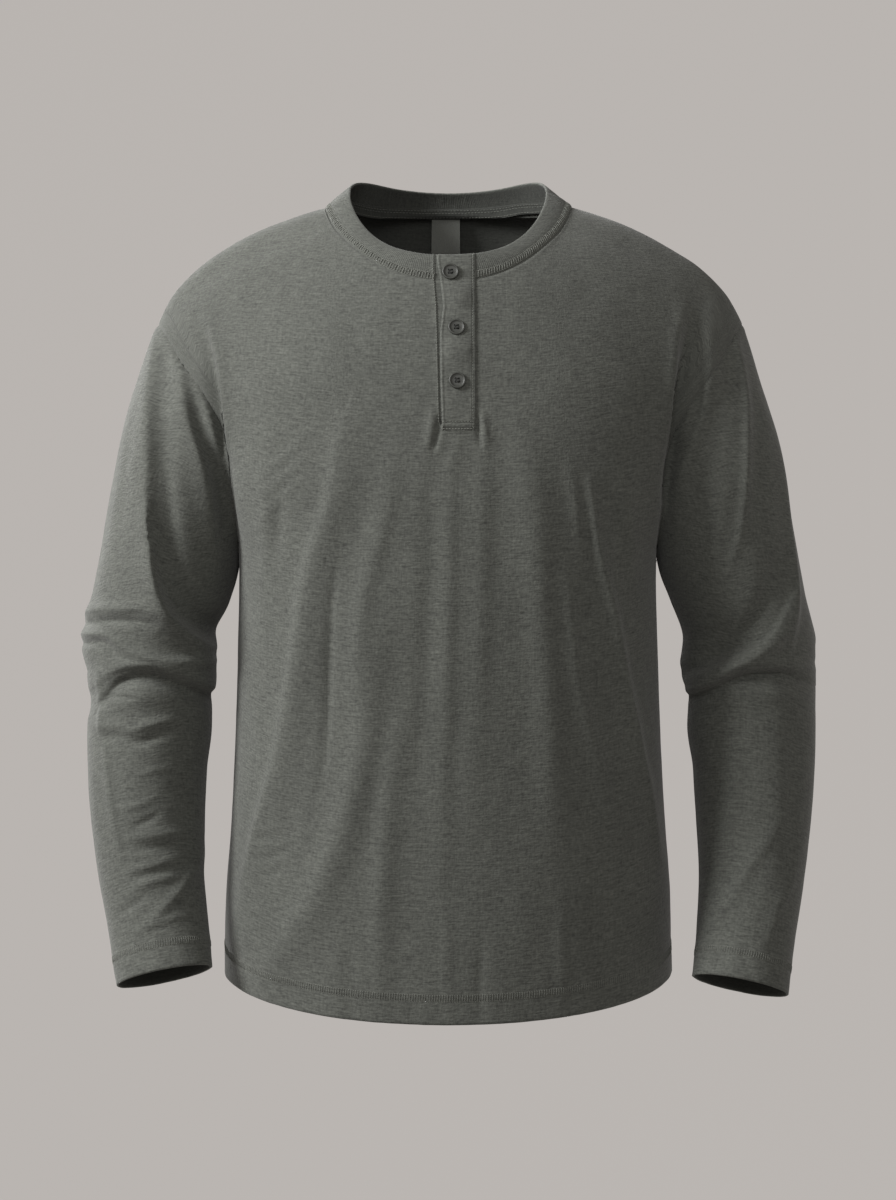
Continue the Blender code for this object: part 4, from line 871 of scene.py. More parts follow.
def beside_line(line, places):
    """For places on a plane, how far they are from a line, the same with a sign for its side,
    and how far along it they are, from 0 to 1."""
    run = run_length(line)
    gap = np.full(len(places), np.inf)
    beside, along = np.zeros(len(places)), np.zeros(len(places))
    for start, end, before in zip(line, line[1:], run):
        size = np.linalg.norm(end - start)
        way = (end - start) / size
        off = places - start
        inside = np.clip(off @ way, 0, size)
        this = np.hypot(*(off - inside[:, None] * way).T)
        closer = this < gap
        gap = np.where(closer, this, gap)
        cross = off[:, 0] * -way[1] + off[:, 1] * way[0]
        beside = np.where(closer, np.sign(cross) * this, beside)
        along = np.where(closer, (before + inside) / run[-1], along)
    return gap, beside, along


def fold_height(points, table):
    """Sum of a table's folds at points, which are read by x and z alone."""
    place = points[..., [0, 2]].reshape(-1, 2)
    total = np.zeros(len(place))
    for height, start_width, end_width, lean, crest, marks in table:
        line = respaced(through(marks, 4 * FOLD_STEPS), FOLD_STEPS)
        reach = FOLD_REACH * max(start_width, end_width)
        near = np.flatnonzero(np.all((place > line.min(axis=0) - reach)
                                     & (place < line.max(axis=0) + reach), axis=1))
        if not len(near):
            continue
        gap, beside, along = beside_line(line, place[near])
        width = start_width + (end_width - start_width) * along
        width = width * np.where(beside > 0, 1 - lean, 1 + lean)
        far = gap / width
        soft = np.exp(-far ** 2)
        sharp = np.exp(-CREST_FALL * (np.sqrt(far ** 2 + CREST_BLUNT) - math.sqrt(CREST_BLUNT)))
        taper = np.sin(math.pi * np.clip(along * TAPER_SPAN + TAPER_START, 0, 1)) ** TAPER_POWER
        total[near] += height * taper * ((1 - crest) * soft + crest * sharp * (far < FOLD_REACH))
    return total.reshape(points.shape[:-1])


def facing_front(normals):
    """1 where the cloth faces the front and 0 where it faces the back."""
    return ease(0.5 - FACING_SLOPE * normals[..., 1])


def seam_profile(distance):
    """The groove of a seam and the turned edge beside it."""
    return (ALLOWANCE * bell(distance - ALLOWANCE_AT, ALLOWANCE_WIDTH)
            - SEAM_DEPTH * bell(distance, SEAM_WIDTH))


# ---------------------------------------------------------------- meshes

def cloth_places(grid, wraps=False):
    """Where each point lies in the flat cloth, in metres: across from its middle and up from
    its lower edge. A tube's rows run down, from under the arm round by the front, and it has
    one column more, on which it closes."""
    if wraps:
        grid = np.concatenate([grid, grid[:, :1]], axis=1)[::-1]
    across = run_length(grid.transpose(1, 0, 2)).T
    across = across - across[:, [grid.shape[1] // (4 if wraps else 2)]]
    places = np.stack([across, run_length(grid)], axis=-1) * MM
    return places[::-1] if wraps else places


def finish_mesh(name, points, faces, places, material, lining=None):
    """A smooth named object that rides on the part's one body. lining is the material of the
    cloth's inside, which is painted darker as shade, with its first face and the one after its last."""
    mesh = bpy.data.meshes.new(name)
    mesh.from_pydata((np.asarray(points) * MM).tolist(), [], faces)
    if places is not None:
        layer = mesh.uv_layers.new(name="cloth")
        layer.data.foreach_set("uv", np.asarray(places, np.float32).ravel())
    mesh.materials.append(material)
    if lining:
        mesh.materials.append(lining[0])
        which = np.zeros(len(faces), np.int32)
        which[lining[1]:lining[2]] = 1
        mesh.polygons.foreach_set("material_index", which)
    mesh.shade_smooth()
    mesh.set_sharp_from_angle(angle=math.radians(SHARP))
    mesh.validate()
    made = bpy.data.objects.new(name, mesh)
    bpy.context.scene.collection.objects.link(made)
    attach(made, "root")
    return made


def shell(name, grid, normals, thickness, material, keep=None, wraps=False, flip=False,
          lining_step=2, round_rows=(), painted_shade_look=None):
    """A closed wall of cloth. Its outside is the grid and its inside has every lining_step-th
    point. thickness is a number or one for each row. Its edges are square at a seam and
    round in round_rows. painted_shade_look is the material of its inside, if that is another:
    a copy of the outside's knit painted darker as shade."""
    rows, cols = grid.shape[:2]
    step = lining_step
    thick = np.broadcast_to(np.asarray(thickness, float).reshape(-1, 1), (rows, cols))
    places = cloth_places(grid, wraps)
    last_col = cols if wraps else cols - 1
    kept = np.ones((rows - 1, last_col), bool) if keep is None else keep

    def number(r, c):
        """The number of an outside point."""
        return r * cols + c % cols

    r, c = np.nonzero(kept)
    corner_r = np.stack([r, r, r + 1, r + 1], axis=1)
    corner_c = np.stack([c, c + 1, c + 1, c], axis=1)
    coarse = kept[::step, ::step]
    cr, cc = (step * i for i in np.nonzero(coarse))
    in_r = np.stack([cr, cr + step, cr + step, cr], axis=1)
    in_c = np.stack([cc, cc, cc + step, cc + step], axis=1)
    if flip:
        corner_r, corner_c, in_r, in_c = (a[:, ::-1] for a in (corner_r, corner_c, in_r, in_c))

    lining = grid - normals * thick[..., None]
    points = [grid.reshape(-1, 3), lining.reshape(-1, 3)]
    offset = rows * cols
    faces = number(corner_r, corner_c).tolist() + (number(in_r, in_c) + offset).tolist()
    loop_r = [corner_r.ravel(), in_r.ravel()]
    loop_c = [corner_c.ravel(), in_c.ravel()]

    sides = {}
    for face_r, face_c in zip(in_r.tolist(), in_c.tolist()):
        for i in range(4):
            a = (face_r[i], face_c[i])
            b = (face_r[(i + 1) % 4], face_c[(i + 1) % 4])
            sides[(a[0], a[1] % cols, b[0], b[1] % cols)] = (a, b)
    edge_points, edge_number = [], {}

    def on_edge(place, away):
        """The number of the point half way through the wall at an edge."""
        key = number(*place)
        if key not in edge_number:
            pr, pc = place[0], place[1] % cols
            half = thick[pr, pc] / 2
            bulge = ROUND * half if pr in round_rows else 0
            edge_number[key] = 2 * offset + len(edge_points)
            edge_points.append(grid[pr, pc] - normals[pr, pc] * half + away * bulge)
        return edge_number[key]

    for (ar, ac, br, bc), (a, b) in sides.items():
        if (br, bc, ar, ac) in sides:
            continue
        chain = [(a[0] + (b[0] - a[0]) * k // step, a[1] + (b[1] - a[1]) * k // step)
                 for k in range(step + 1)]
        along = grid[b[0], b[1] % cols] - grid[a[0], a[1] % cols]
        away = unit(np.cross(normals[ar, ac], along))
        rim = [on_edge(p, away) for p in chain]
        for k in range(step):
            p, q = chain[k], chain[k + 1]
            faces.append([number(*p), number(*q), rim[k + 1], rim[k]])
            loop_r.append([p[0], q[0], q[0], p[0]])
            loop_c.append([p[1], q[1], q[1], p[1]])
        faces.append(rim + [number(*b) + offset, number(*a) + offset])
        loop_r.append([p[0] for p in chain] + [b[0], a[0]])
        loop_c.append([p[1] for p in chain] + [b[1], a[1]])

    loop_r, loop_c = np.concatenate(loop_r), np.concatenate(loop_c)
    every = np.concatenate(points + ([np.array(edge_points)] if edge_points else []))
    used, flat = np.unique(np.concatenate([np.asarray(f) for f in faces]), return_inverse=True)
    ends = np.cumsum([len(f) for f in faces])[:-1]
    renumbered = [f.tolist() for f in np.split(flat.reshape(-1), ends)]
    # the inside's faces get the darker material: painted shade
    lining = (painted_shade_look, len(r), len(r) + len(cr)) if painted_shade_look else None
    return finish_mesh(name, every[used], renumbered, places[loop_r, loop_c], material, lining)


def declare(piece):
    """Reads a sheet's places in its flat cloth from its layer named cloth, and does nothing more with
    them."""
    layer = piece.data.uv_layers["cloth"].data
    places = np.empty(2 * len(layer), np.float32)
    layer.foreach_get("uv", places)


def threads(name, paths, radius, material):
    """Short threads as one mesh. paths is threads x points x 3; the ends are thinner."""
    paths = np.asarray(paths, float)
    count, length = paths.shape[:2]
    way = unit(np.gradient(paths, axis=1))
    side = unit(np.cross(way, THREAD_SIDE))
    other = np.cross(way, side)
    size = np.full(length, radius)
    size[[0, -1]] *= THREAD_END
    sides = THREAD_SIDES
    turn = np.arange(sides) * 2 * math.pi / sides
    ring = (np.cos(turn)[:, None] * side[:, :, None] + np.sin(turn)[:, None] * other[:, :, None])
    points = (paths[:, :, None] + ring * size[:, None, None]).reshape(-1, 3)
    first = (np.arange(count) * length * sides)[:, None, None]
    level = (np.arange(length - 1) * sides)[None, :, None]
    here, after = np.arange(sides), (np.arange(sides) + 1) % sides
    quads = np.stack(np.broadcast_arrays(first + level + here, first + level + after,
                                         first + level + sides + after,
                                         first + level + sides + here), axis=-1).reshape(-1, 4)
    last = (length - 1) * sides
    faces = quads.tolist()
    faces += (first[:, 0] + here[::-1]).tolist() + (first[:, 0] + last + here).tolist()
    return finish_mesh(name, points, faces, None, material)


class Line:
    """A line of places on the cloth at which threads stand."""

    def __init__(self, points, normals):
        self.points, self.normals = points, normals
        self.run = run_length(points)
        self.length = self.run[-1]

    def at(self, share, rise=0.0):
        """Points at shares of the line's length, raised from the cloth."""
        place = np.asarray(share) * self.length
        found = [np.interp(place, self.run, values[:, i])
                 for values in (self.points, self.normals) for i in range(3)]
        return np.stack(found[:3], axis=-1) + np.stack(found[3:], axis=-1) * rise


def lines_along(grid, normals, heights, closed=False):
    """A line for each height over the grid's first row."""
    points, out = sample(run_length(grid), np.array(heights)[:, None], grid, normals)
    if closed:
        points, out = (np.concatenate([a, a[:, :1]], axis=1) for a in (points, out))
    return [Line(*line) for line in zip(points, unit(out))]


def running_stitches(line, pitch, radius):
    """A row of straight stitches, as threads x points x 3."""
    count = int(line.length / pitch)
    start = (np.arange(count) + RUNNING_START) / count
    step = RUNNING_SHARE / count
    return np.stack([line.at(start + step * k / 3, rise * radius)
                     for k, rise in enumerate(RUNNING_RISES)], axis=1)


def looper_stitches(lines, pitch, radius, slant):
    """The threads across a cover stitch, from its lower to its upper row."""
    count = int(lines[1].length / pitch)
    start = (np.arange(count) + LOOPER_START) / count
    return np.stack([lines[row].at(start + share * slant / count, rise * radius)
                     for row, share, rise in LOOPER], axis=1)


def cover_stitch(name, lines, sizes, material):
    """Cover stitches along three lines: lower row, middle, upper row."""
    pitch, radius, slant = sizes
    straight = np.concatenate([running_stitches(line, pitch, radius) for line in lines[::2]])
    # a straight stitch has one point fewer, so its middle is put in
    middle = (straight[:, 1:2] + straight[:, 2:3]) / 2
    straight = np.concatenate([straight[:, :2], middle, straight[:, 2:]], axis=1)
    across = looper_stitches(lines, pitch, radius, slant)
    return threads(name, np.concatenate([straight, across]), radius, material)


# ---------------------------------------------------------------- materials

def add(tree, kind, inputs, **settings):
    """A shader node. An input is a value or another node's output."""
    made = tree.nodes.new(kind)
    for key, value in settings.items():
        setattr(made, key, value)
    for key, value in inputs.items():
        if isinstance(value, bpy.types.NodeSocket):
            tree.links.new(value, made.inputs[key])
        else:
            made.inputs[key].default_value = value
    return made


def principled(name, colour, roughness, sheen=0.0):
    """A new material, its node tree and its shader."""
    made = bpy.data.materials.new(name)
    made.use_nodes = True
    shader = made.node_tree.nodes["Principled BSDF"]
    shader.inputs["Base Color"].default_value = (*colour, 1)
    shader.inputs["Roughness"].default_value = roughness
    shader.inputs["Sheen Weight"].default_value = sheen
    shader.inputs["Sheen Roughness"].default_value = 0.5
    return made, made.node_tree, shader


def spread(tree, value, amount):
    """A factor from 1 - amount to 1 + amount, as noise runs from low to high."""
    return add(tree, "ShaderNodeMapRange",
               {"Value": value, "From Min": NOISE_LOW, "From Max": NOISE_HIGH,
                "To Min": 1 - amount, "To Max": 1 + amount}, clamp=False).outputs["Result"]


def paint(tree, shader, colour, factor):
    """Gives the shader a colour times a factor."""
    painted = add(tree, "ShaderNodeVectorMath", {0: colour, "Scale": factor}, operation="SCALE")
    tree.links.new(painted.outputs["Vector"], shader.inputs["Base Color"])


def knit(name, colour, roughness, sheen, streaks, contrast, bump):
    """Knitted cloth in soft streaks."""
    made, tree, shader = principled(name, colour, roughness, sheen)
    place = add(tree, "ShaderNodeUVMap", {}, uv_map="cloth").outputs["UV"]
    total = None
    for i, (wide, tall, share) in enumerate(streaks):
        scaled = add(tree, "ShaderNodeMapping",
                     {"Vector": place, "Location": (STREAK_STEP[0] * i, STREAK_STEP[1] * i, 0),
                      "Scale": (1 / (wide * MM), 1 / (tall * MM), 1)}).outputs["Vector"]
        noise = add(tree, "ShaderNodeTexNoise", {"Vector": scaled, **STREAK_DETAIL},
                    noise_dimensions="2D").outputs["Fac"]
        part = add(tree, "ShaderNodeMath", {0: noise, 1: share},
                   operation="MULTIPLY").outputs["Value"]
        total = part if total is None else add(tree, "ShaderNodeMath", {0: total, 1: part},
                                               operation="ADD").outputs["Value"]
    patches = add(tree, "ShaderNodeTexNoise", {"Vector": place, **PATCH_DETAIL},
                  noise_dimensions="2D").outputs["Fac"]
    both = add(tree, "ShaderNodeMath",
               {0: spread(tree, total, contrast), 1: spread(tree, patches, PATCHES)},
               operation="MULTIPLY").outputs["Value"]
    paint(tree, shader, colour, both)
    raised = add(tree, "ShaderNodeBump", {"Height": total, "Strength": 1.0, "Distance": bump * MM})
    tree.links.new(raised.outputs["Normal"], shader.inputs["Normal"])
    return made


def plastic(name, colour, roughness):
    """Button plastic with a faint mottle."""
    made, tree, shader = principled(name, colour, roughness)
    place = add(tree, "ShaderNodeTexCoord", {}).outputs["Object"]
    noise = add(tree, "ShaderNodeTexNoise", {"Vector": place, **MOTTLE_DETAIL}).outputs["Fac"]
    paint(tree, shader, colour, spread(tree, noise, MOTTLE))
    return made


# ---------------------------------------------------------------- the body and the sleeves

def edge_distances(grid):
    """How far each point is along the cloth from the first and last column and row."""
    across = run_length(grid.transpose(1, 0, 2)).T
    up = run_length(grid)
    return across, across[:, -1:] - across, up, up[-1] - up


def calm_near(points, seam, reach):
    """0 on a seam, rising to 1 at reach from it."""
    distance = np.full(points.shape[:-1], np.inf)
    for place in seam:
        distance = np.minimum(distance, np.sum((points - place) ** 2, axis=-1))
    return ease(np.sqrt(distance) / reach)


def hem_relief(grid, height):
    """How a turned hem stands out, with its cover stitch pulled in and faint puckers."""
    rise = HEM_RISE * ease((HEM_DEPTH + HEM_FADE - height) / HEM_FADE)
    for row in (-0.5, 0.5):
        rise = rise - HEM_PULL * bell(height - HEM_DEPTH - row * STITCH_ROWS, HEM_PULL_WIDTH)
    skewed = grid + height[..., None] * np.array(HEM_SKEW)
    pucker = HEM_PUCKER * lattice_noise(skewed, HEM_PUCKER_SIZE, HEM_PUCKER_SEED)
    return rise + pucker * ease((HEM_ZONE + PUCKER_ABOVE - height) / PUCKER_FADE)


def soften(skin, seams):
    """Pushes the folds and the cloth's unevenness into the skin along its normals."""
    normals = skin.normals()
    tables = {"sleeve": (SLEEVE_FRONT_FOLDS, SLEEVE_BACK_FOLDS),
              "body": (BODY_FRONT_FOLDS, BODY_BACK_FOLDS)}
    for name, grid in skin.grids.items():
        front, back = next(pair for key, pair in tables.items() if key in name)
        facing = facing_front(normals[name])
        own = facing * fold_height(grid, front) + (1 - facing) * fold_height(grid, back)
        height = own * calm_near(grid, seams, CALM)
        height += facing * fold_height(grid, ARM_FRONT_FOLDS)
        height += (1 - facing) * fold_height(grid, ARM_BACK_FOLDS)
        for size, rise, seed in UNEVEN:
            height += rise * lattice_noise(grid, size, seed)
        grid = grid + normals[name] * height[..., None]
        if "sleeve" in name:
            grid[..., 1] -= facing * fold_height(grid, SLEEVE_ROLLS)
        skin.grids[name] = grid


def sew(skin):
    """Presses seams and hems into the skin along its normals."""
    normals = skin.normals()
    for name, grid in skin.grids.items():
        if "sleeve" in name:
            down = run_length(grid)
            closed = np.concatenate([grid, grid[:, :1]], axis=1)
            around = run_length(closed.transpose(1, 0, 2)).T
            seam = np.minimum(down, np.minimum(around[:, :-1], around[:, -1:] - around[:, :-1]))
            hem = down[-1] - down
        else:
            right, left, hem, top = edge_distances(grid)
            seam = np.minimum(np.minimum(right, left), top)
        height = seam_profile(seam) + hem_relief(grid, hem)
        skin.grids[name] = grid + normals[name] * height[..., None]


def hem_thickness(hem):
    """The wall's thickness at each row, from the rows' height over the hem's edge."""
    above = HEM_DEPTH + HEM_CLOTH_ABOVE - hem.mean(axis=1)
    return CLOTH + (HEM_CLOTH - CLOTH) * ease(above / HEM_FADE)


# ---------------------------------------------------------------- the placket

class Chest:
    """The front about the placket, with the neckband in its place at the top."""

    def __init__(self, panel):
        middle = np.flatnonzero(np.abs(panel[-1, :, 0]) < CHEST_REACH)
        panel = panel[:, middle[0]:middle[-1] + 1]
        base = np.concatenate([panel[:-1], band_rows(panel[-1], BAND_ROWS)])
        reach = CHEST_REACH - CHEST_INSET
        self.x = np.arange(-reach, reach, CHEST_CELL[0])
        y, z = (np.array([np.interp(self.x, row[:, 0], row[:, i]) for row in base]) for i in (1, 2))
        self.z = np.arange(*CHEST_HEIGHTS, CHEST_CELL[1])
        self.y = np.stack([np.interp(self.z, z[:, i], y[:, i]) for i in range(len(self.x))], axis=1)
        self.edge = z[-1]

    def top(self, x):
        """How high the neckband's top edge is."""
        return np.interp(x, self.x, self.edge)

    def depth(self, x, z):
        """The chest's y at x and z."""
        c, r = (np.clip((at - line[0]) / cell, 0, len(line) - LAST_CELL)
                for at, line, cell in zip((x, z), (self.x, self.z), CHEST_CELL))
        c0, r0 = c.astype(int), r.astype(int)
        c, r = c - c0, r - r0
        return ((1 - r) * ((1 - c) * self.y[r0, c0] + c * self.y[r0, c0 + 1])
                + r * ((1 - c) * self.y[r0 + 1, c0] + c * self.y[r0 + 1, c0 + 1]))

    def normal(self, x, z):
        """The chest's outward normal at x and z."""
        step = CHEST_SLOPE
        slope_x = (self.depth(x + step, z) - self.depth(x - step, z)) / (2 * step)
        slope_z = (self.depth(x, z + step) - self.depth(x, z - step)) / (2 * step)
        return unit(np.stack([slope_x, -np.ones_like(slope_x), slope_z], axis=-1))

    def points(self, x, z):
        """Points of the chest at x and z."""
        return np.stack([x, self.depth(x, z), z], axis=-1)


def strip(chest, right, left, foot, cell):
    """Places x and z of a strip between two edges, which are lines of (height, x)."""
    rows = 2 * round((chest.top(0.0) - foot) / cell[1] / 2)
    cols = 2 * round(abs(left[0][1] - right[0][1]) / cell[0] / 2)
    up, over = np.linspace(0, 1, rows + 1)[:, None], np.linspace(0, 1, cols + 1)[None]
    guess = foot + up * (chest.top(0.0) - foot)
    x_right, x_left = (np.interp(guess, *zip(*edge)) for edge in (right, left))
    x = x_right + (x_left - x_right) * over
    return x, foot + up * (chest.top(x) - foot)


def slant_opening(panel, column):
    """Slides the cloth beside the opening along itself, so that the opening's edge slants."""
    for row in panel[OPENING_ROWS:]:
        x, height = row[:, 0].copy(), row[column, 2]
        wanted = np.interp(height, *zip(*BODY_OPENING))
        shift = (wanted - x[column]) * ease(1 - np.abs(x - x[column]) / BODY_SHIFT)
        shift *= ease((height - STRIP_FOOT + 2 * BODY_SHIFT) / (2 * BODY_SHIFT))
        for i in (1, 2):
            row[:, i] = np.interp(x + shift, x, row[:, i])
        row[:, 0] = x + shift


def strip_rise(x, z):
    """How far the upper strip stands off the chest."""
    beside = {"free": x - x[:, :1], "sewn": x[:, -1:] - x, "box": z - BOX_TOP,
              "foot": z - z[:1], "top": z[-1:] - z}
    rise = STRIP_LIFT + TRIM_CLOTH
    for edge, distance, height, width in STRIP_RELIEF:
        rise = rise + height * bell(beside[edge] - distance, width)
    for button_x, button_z in zip(BUTTON_X, BUTTON_HEIGHTS):
        far = np.hypot(x - button_x, (z - button_z) * SAG_FLAT)
        rise = rise - SAG * bell(far, SAG_WIDTH)
    across = np.sin(math.pi * np.clip(beside["free"] / GAPE_ACROSS, 0, 1))
    for low, high in zip(BUTTON_HEIGHTS[1:], BUTTON_HEIGHTS[:-1]):
        rise = rise + GAPE * (bell(z - (low + high) / 2 - GAPE_OVER, GAPE_HEIGHT) * across)
    places = np.stack([x, z, z * 0], axis=-1)
    return rise + STRIP_WAVE * lattice_noise(places, STRIP_WAVE_SIZE, STRIP_WAVE_SEED)


def placket_lines(chest):
    """The lines that are stitched: the upper strip's sewn edge, its box and the front's edge."""
    sewn, free = SEWN_EDGE[0][1] - STRIP_STITCH, FREE_EDGE[0][1] + FREE_STITCH
    foot, box = STRIP_FOOT + FOOT_STITCH, BOX_TOP + BOX_STITCH
    share = np.linspace(0, 1, STITCH_POINTS)
    lines = []
    for start, end in (((sewn, foot), (sewn, chest.top(sewn) - TOP_STITCH)),
                       ((free, foot), (sewn, foot)), ((free, box), (sewn, box)),
                       ((free, foot), (free, box))):
        x, z = (a + (b - a) * share for a, b in zip(start, end))
        line = Line(chest.points(x, z), chest.normal(x, z))
        line.points += line.normals * (STRIP_LIFT + TRIM_CLOTH - STITCH_SINK)
        lines.append(line)
    z = np.linspace(OPENING_FOOT, chest.top(OPENING_RIGHT) - TOP_STITCH, STITCH_POINTS)
    x = np.interp(z, *zip(*BODY_OPENING)) - BODY_STITCH
    out = chest.normal(x, z)
    return lines + [Line(chest.points(x, z) + out * BODY_EDGE, out)]


def make_placket(chest, looks):
    """Both placket strips with their stitching."""
    edge = [(height, x + UNDER_GAP) for height, x in BODY_OPENING]
    x, z = strip(chest, edge, UNDER_EDGE, UNDER_FOOT, UNDER_CELL)
    out = chest.normal(x, z)
    behind = CLOTH * ease((OPENING_FOOT + UNDER_BEHIND - z) / UNDER_FADE)
    grid = chest.points(x, z) - out * (UNDER_SINK + behind)[..., None]
    under = shell("placket_under_cloth", grid, out, TRIM_CLOTH, looks["jersey"],
                  round_rows=(0, len(x) - 1))
    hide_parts("placket_under")

    x, z = strip(chest, FREE_EDGE, SEWN_EDGE, STRIP_FOOT, STRIP_CELL)
    grid = chest.points(x, z) + chest.normal(x, z) * strip_rise(x, z)[..., None]
    upper = shell("placket_upper_cloth", grid, grid_normals(grid), TRIM_CLOTH, looks["jersey"],
                  round_rows=(0, len(x) - 1))
    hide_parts("placket_upper")
    paths = [running_stitches(line, PLACKET_PITCH, PLACKET_STITCH) for line in placket_lines(chest)]
    stitches = threads("placket_stitches", np.concatenate(paths), PLACKET_STITCH, looks["thread"])
    return upper, under, stitches


def make_buttons(chest, looks):
    """Four-hole buttons with a raised rim, a dished middle and their thread."""
    around = np.linspace(0, 2 * math.pi, RIM_POINTS, endpoint=False)
    for i, (x, z) in enumerate(zip(BUTTON_X, BUTTON_HEIGHTS)):
        x, z = np.array(x), np.array(z)
        normal = chest.normal(x, z)
        rim = chest.points(x + BUTTON_RADIUS * np.cos(around), z + BUTTON_RADIUS * np.sin(around))
        middle = chest.points(x, z)
        proud = max(0.0, ((rim - middle) @ normal).max())
        place = middle + normal * (proud + STRIP_LIFT + TRIM_CLOTH + BUTTON_CLEAR)
        make_button(i + 1, place, normal, looks)


def button_mesh(spots):
    """A button that lies with its back on the origin, with a hole at each spot."""
    points, faces = turned(BUTTON_PROFILE, BUTTON_STEPS)
    faces.append(tuple(range(BUTTON_STEPS))[::-1])
    faces.append(tuple(range(len(points) - BUTTON_STEPS, len(points))))
    blank = bpy.data.meshes.new("blank")
    blank.from_pydata((np.array(points) * MM).tolist(), [], faces)
    holes = bpy.data.meshes.new("holes")
    shape = bmesh.new()
    for x, y in spots:
        ring = bmesh.ops.create_cone(shape, cap_ends=True, segments=HOLE_SIDES, radius1=HOLE * MM,
                                     radius2=HOLE * MM, depth=HOLE_DEPTH * MM)
        bmesh.ops.translate(shape, verts=ring["verts"], vec=(x * MM, y * MM, 0))
    shape.to_mesh(holes)
    shape.free()
    body, cutter = (bpy.data.objects.new(mesh.name, mesh) for mesh in (blank, holes))
    for made in (body, cutter):
        bpy.context.scene.collection.objects.link(made)
    cut = body.modifiers.new("holes", "BOOLEAN")
    cut.operation = "DIFFERENCE"
    cut.object = cutter
    bpy.context.view_layer.update()
    mesh = bpy.data.meshes.new_from_object(body.evaluated_get(bpy.context.evaluated_depsgraph_get()))
    for old in (body, cutter):
        bpy.data.objects.remove(old, do_unlink=True)
    return mesh


def make_button(number, place, normal, looks):
    """One button with its thread, its back at place."""
    angles = math.pi / 4 + np.arange(4) * math.pi / 2
    spots = [np.array([HOLE_RING * math.cos(a), HOLE_RING * math.sin(a)]) for a in angles]
    mesh = button_mesh(spots)
    x = unit(np.cross([0, 0, 1.0], normal))
    turn = np.stack([x, np.cross(normal, x), normal], axis=1)
    flat = np.empty(len(mesh.vertices) * 3)
    mesh.vertices.foreach_get("co", flat)
    mesh.vertices.foreach_set("co", (flat.reshape(-1, 3) @ turn.T + place * MM).ravel())
    mesh.materials.clear()
    mesh.materials.append(looks["button"])
    mesh.shade_smooth()
    mesh.set_sharp_from_angle(angle=math.radians(BUTTON_SHARP))
    made = bpy.data.objects.new(f"button_{number}_disc", mesh)
    bpy.context.scene.collection.objects.link(made)
    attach(made, "root")
    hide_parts(f"button_{number}")

    floor = BUTTON_PROFILE[-1][1]
    paths = []
    for a, b in ((spots[i], spots[k]) for i, k in HOLE_PAIRS):
        for shift in BUTTON_STITCH_ASIDE:
            aside = unit(np.array([a[1] - b[1], b[0] - a[0]])) * shift
            paths.append([[*(a + (b - a) * share + aside), floor + rise]
                          for share, rise in BUTTON_ARCH])
    threads(f"button_{number}_thread", np.array(paths) @ turn.T + place, BUTTON_STITCH,
            looks["button_thread"])


# ---------------------------------------------------------------- inside the neck

def about_seam(grid, normals, seam_row, heights, cols):
    """Points and normals of a grid at heights over its seam, one for each row and place."""
    first = np.minimum(cols.astype(int), grid.shape[1] - 2)
    share = (cols - first)[:, None]
    lines, out = ((1 - share) * a[:, first] + share * a[:, first + 1] for a in (grid, normals))
    up = run_length(lines)
    points, out = sample(up - up[seam_row], heights, lines, out)
    return points, unit(out)


def make_tape_and_label(back, neck, looks):
    """The tape over the seam inside the back neck, with its stitches, and the blank label."""
    below = back[-SEAM_ROWS:, neck]
    about = np.concatenate([below, band_rows(back[-1, neck], SEAM_ROWS)[1:]])
    normals = grid_normals(about, flip=True)
    seam_row = SEAM_ROWS - 1
    cols = np.linspace(TAPE_ENDS[0], len(neck) - TAPE_ENDS[1], TAPE_COLUMNS + 1)
    x = np.interp(cols, np.arange(len(neck)), about[seam_row, :, 0])
    top = np.minimum(TAPE_TOP + np.where(x > 0, *TAPE_SWEEP) * x * x, TAPE_HIGHEST)
    share = np.linspace(0, 1, TAPE_ROWS + 1)[:, None]
    heights = top - TAPE_WIDTH * (1 - share)
    points, _ = about_seam(about, normals, seam_row, heights, cols)
    below, above = (about_seam(about, normals, seam_row, heights * 0 + side * TAPE_TURN, cols)[1]
                    for side in (-1, 1))
    turned_up = ease(0.5 + heights / TAPE_TURN / 2)[..., None]
    out = unit(below + (above - below) * turned_up)
    lean = TAPE_LEAN * (1 - share)[..., None] ** 2     # its lower edge stands off the cloth
    points = points - out * (TAPE_INSIDE + lean)
    for _ in range(TAPE_CALM):
        points[:, 1:-1] = points[:, 1:-1] / 2 + (points[:, :-2] + points[:, 2:]) / 4
    tape = shell("neck_tape_cloth", points, out, TAPE_CLOTH, looks["tape"], flip=True,
                 round_rows=(0, TAPE_ROWS))
    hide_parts("neck_tape")
    lines = lines_along(points - out * TAPE_CLOTH, -out, TAPE_STITCHES)
    paths = np.concatenate([running_stitches(line, TAPE_PITCH, TAPE_STITCH) for line in lines])
    stitches = threads("neck_tape_stitches", paths, TAPE_STITCH, looks["thread"])

    row = about[SEAM_ROWS // 2, :, 0]
    ends = [float(np.interp(LABEL_MIDDLE + side * LABEL_HALF, row, np.arange(len(neck))))
            for side in (-1, 1)]
    cols = np.linspace(*ends, LABEL_COLUMNS + 1)
    heights = np.linspace(*LABEL_HEIGHTS, LABEL_ROWS + 1)[:, None]
    points, out = about_seam(about, normals, seam_row, heights, cols)
    points = points - out * (TAPE_INSIDE + TAPE_LEAN - LABEL_TUCK)
    hung = points.copy()
    hung[..., 1] = points[-1:, :, 1]
    points += LABEL_HANG * (hung - points)
    label = shell("neck_label_cloth", points, grid_normals(points, flip=True), LABEL_CLOTH,
                  looks["label"], flip=True, round_rows=(0, LABEL_ROWS))
    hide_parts("neck_label")
    return tape, label, stitches


# ---------------------------------------------------------------- stage, light and camera

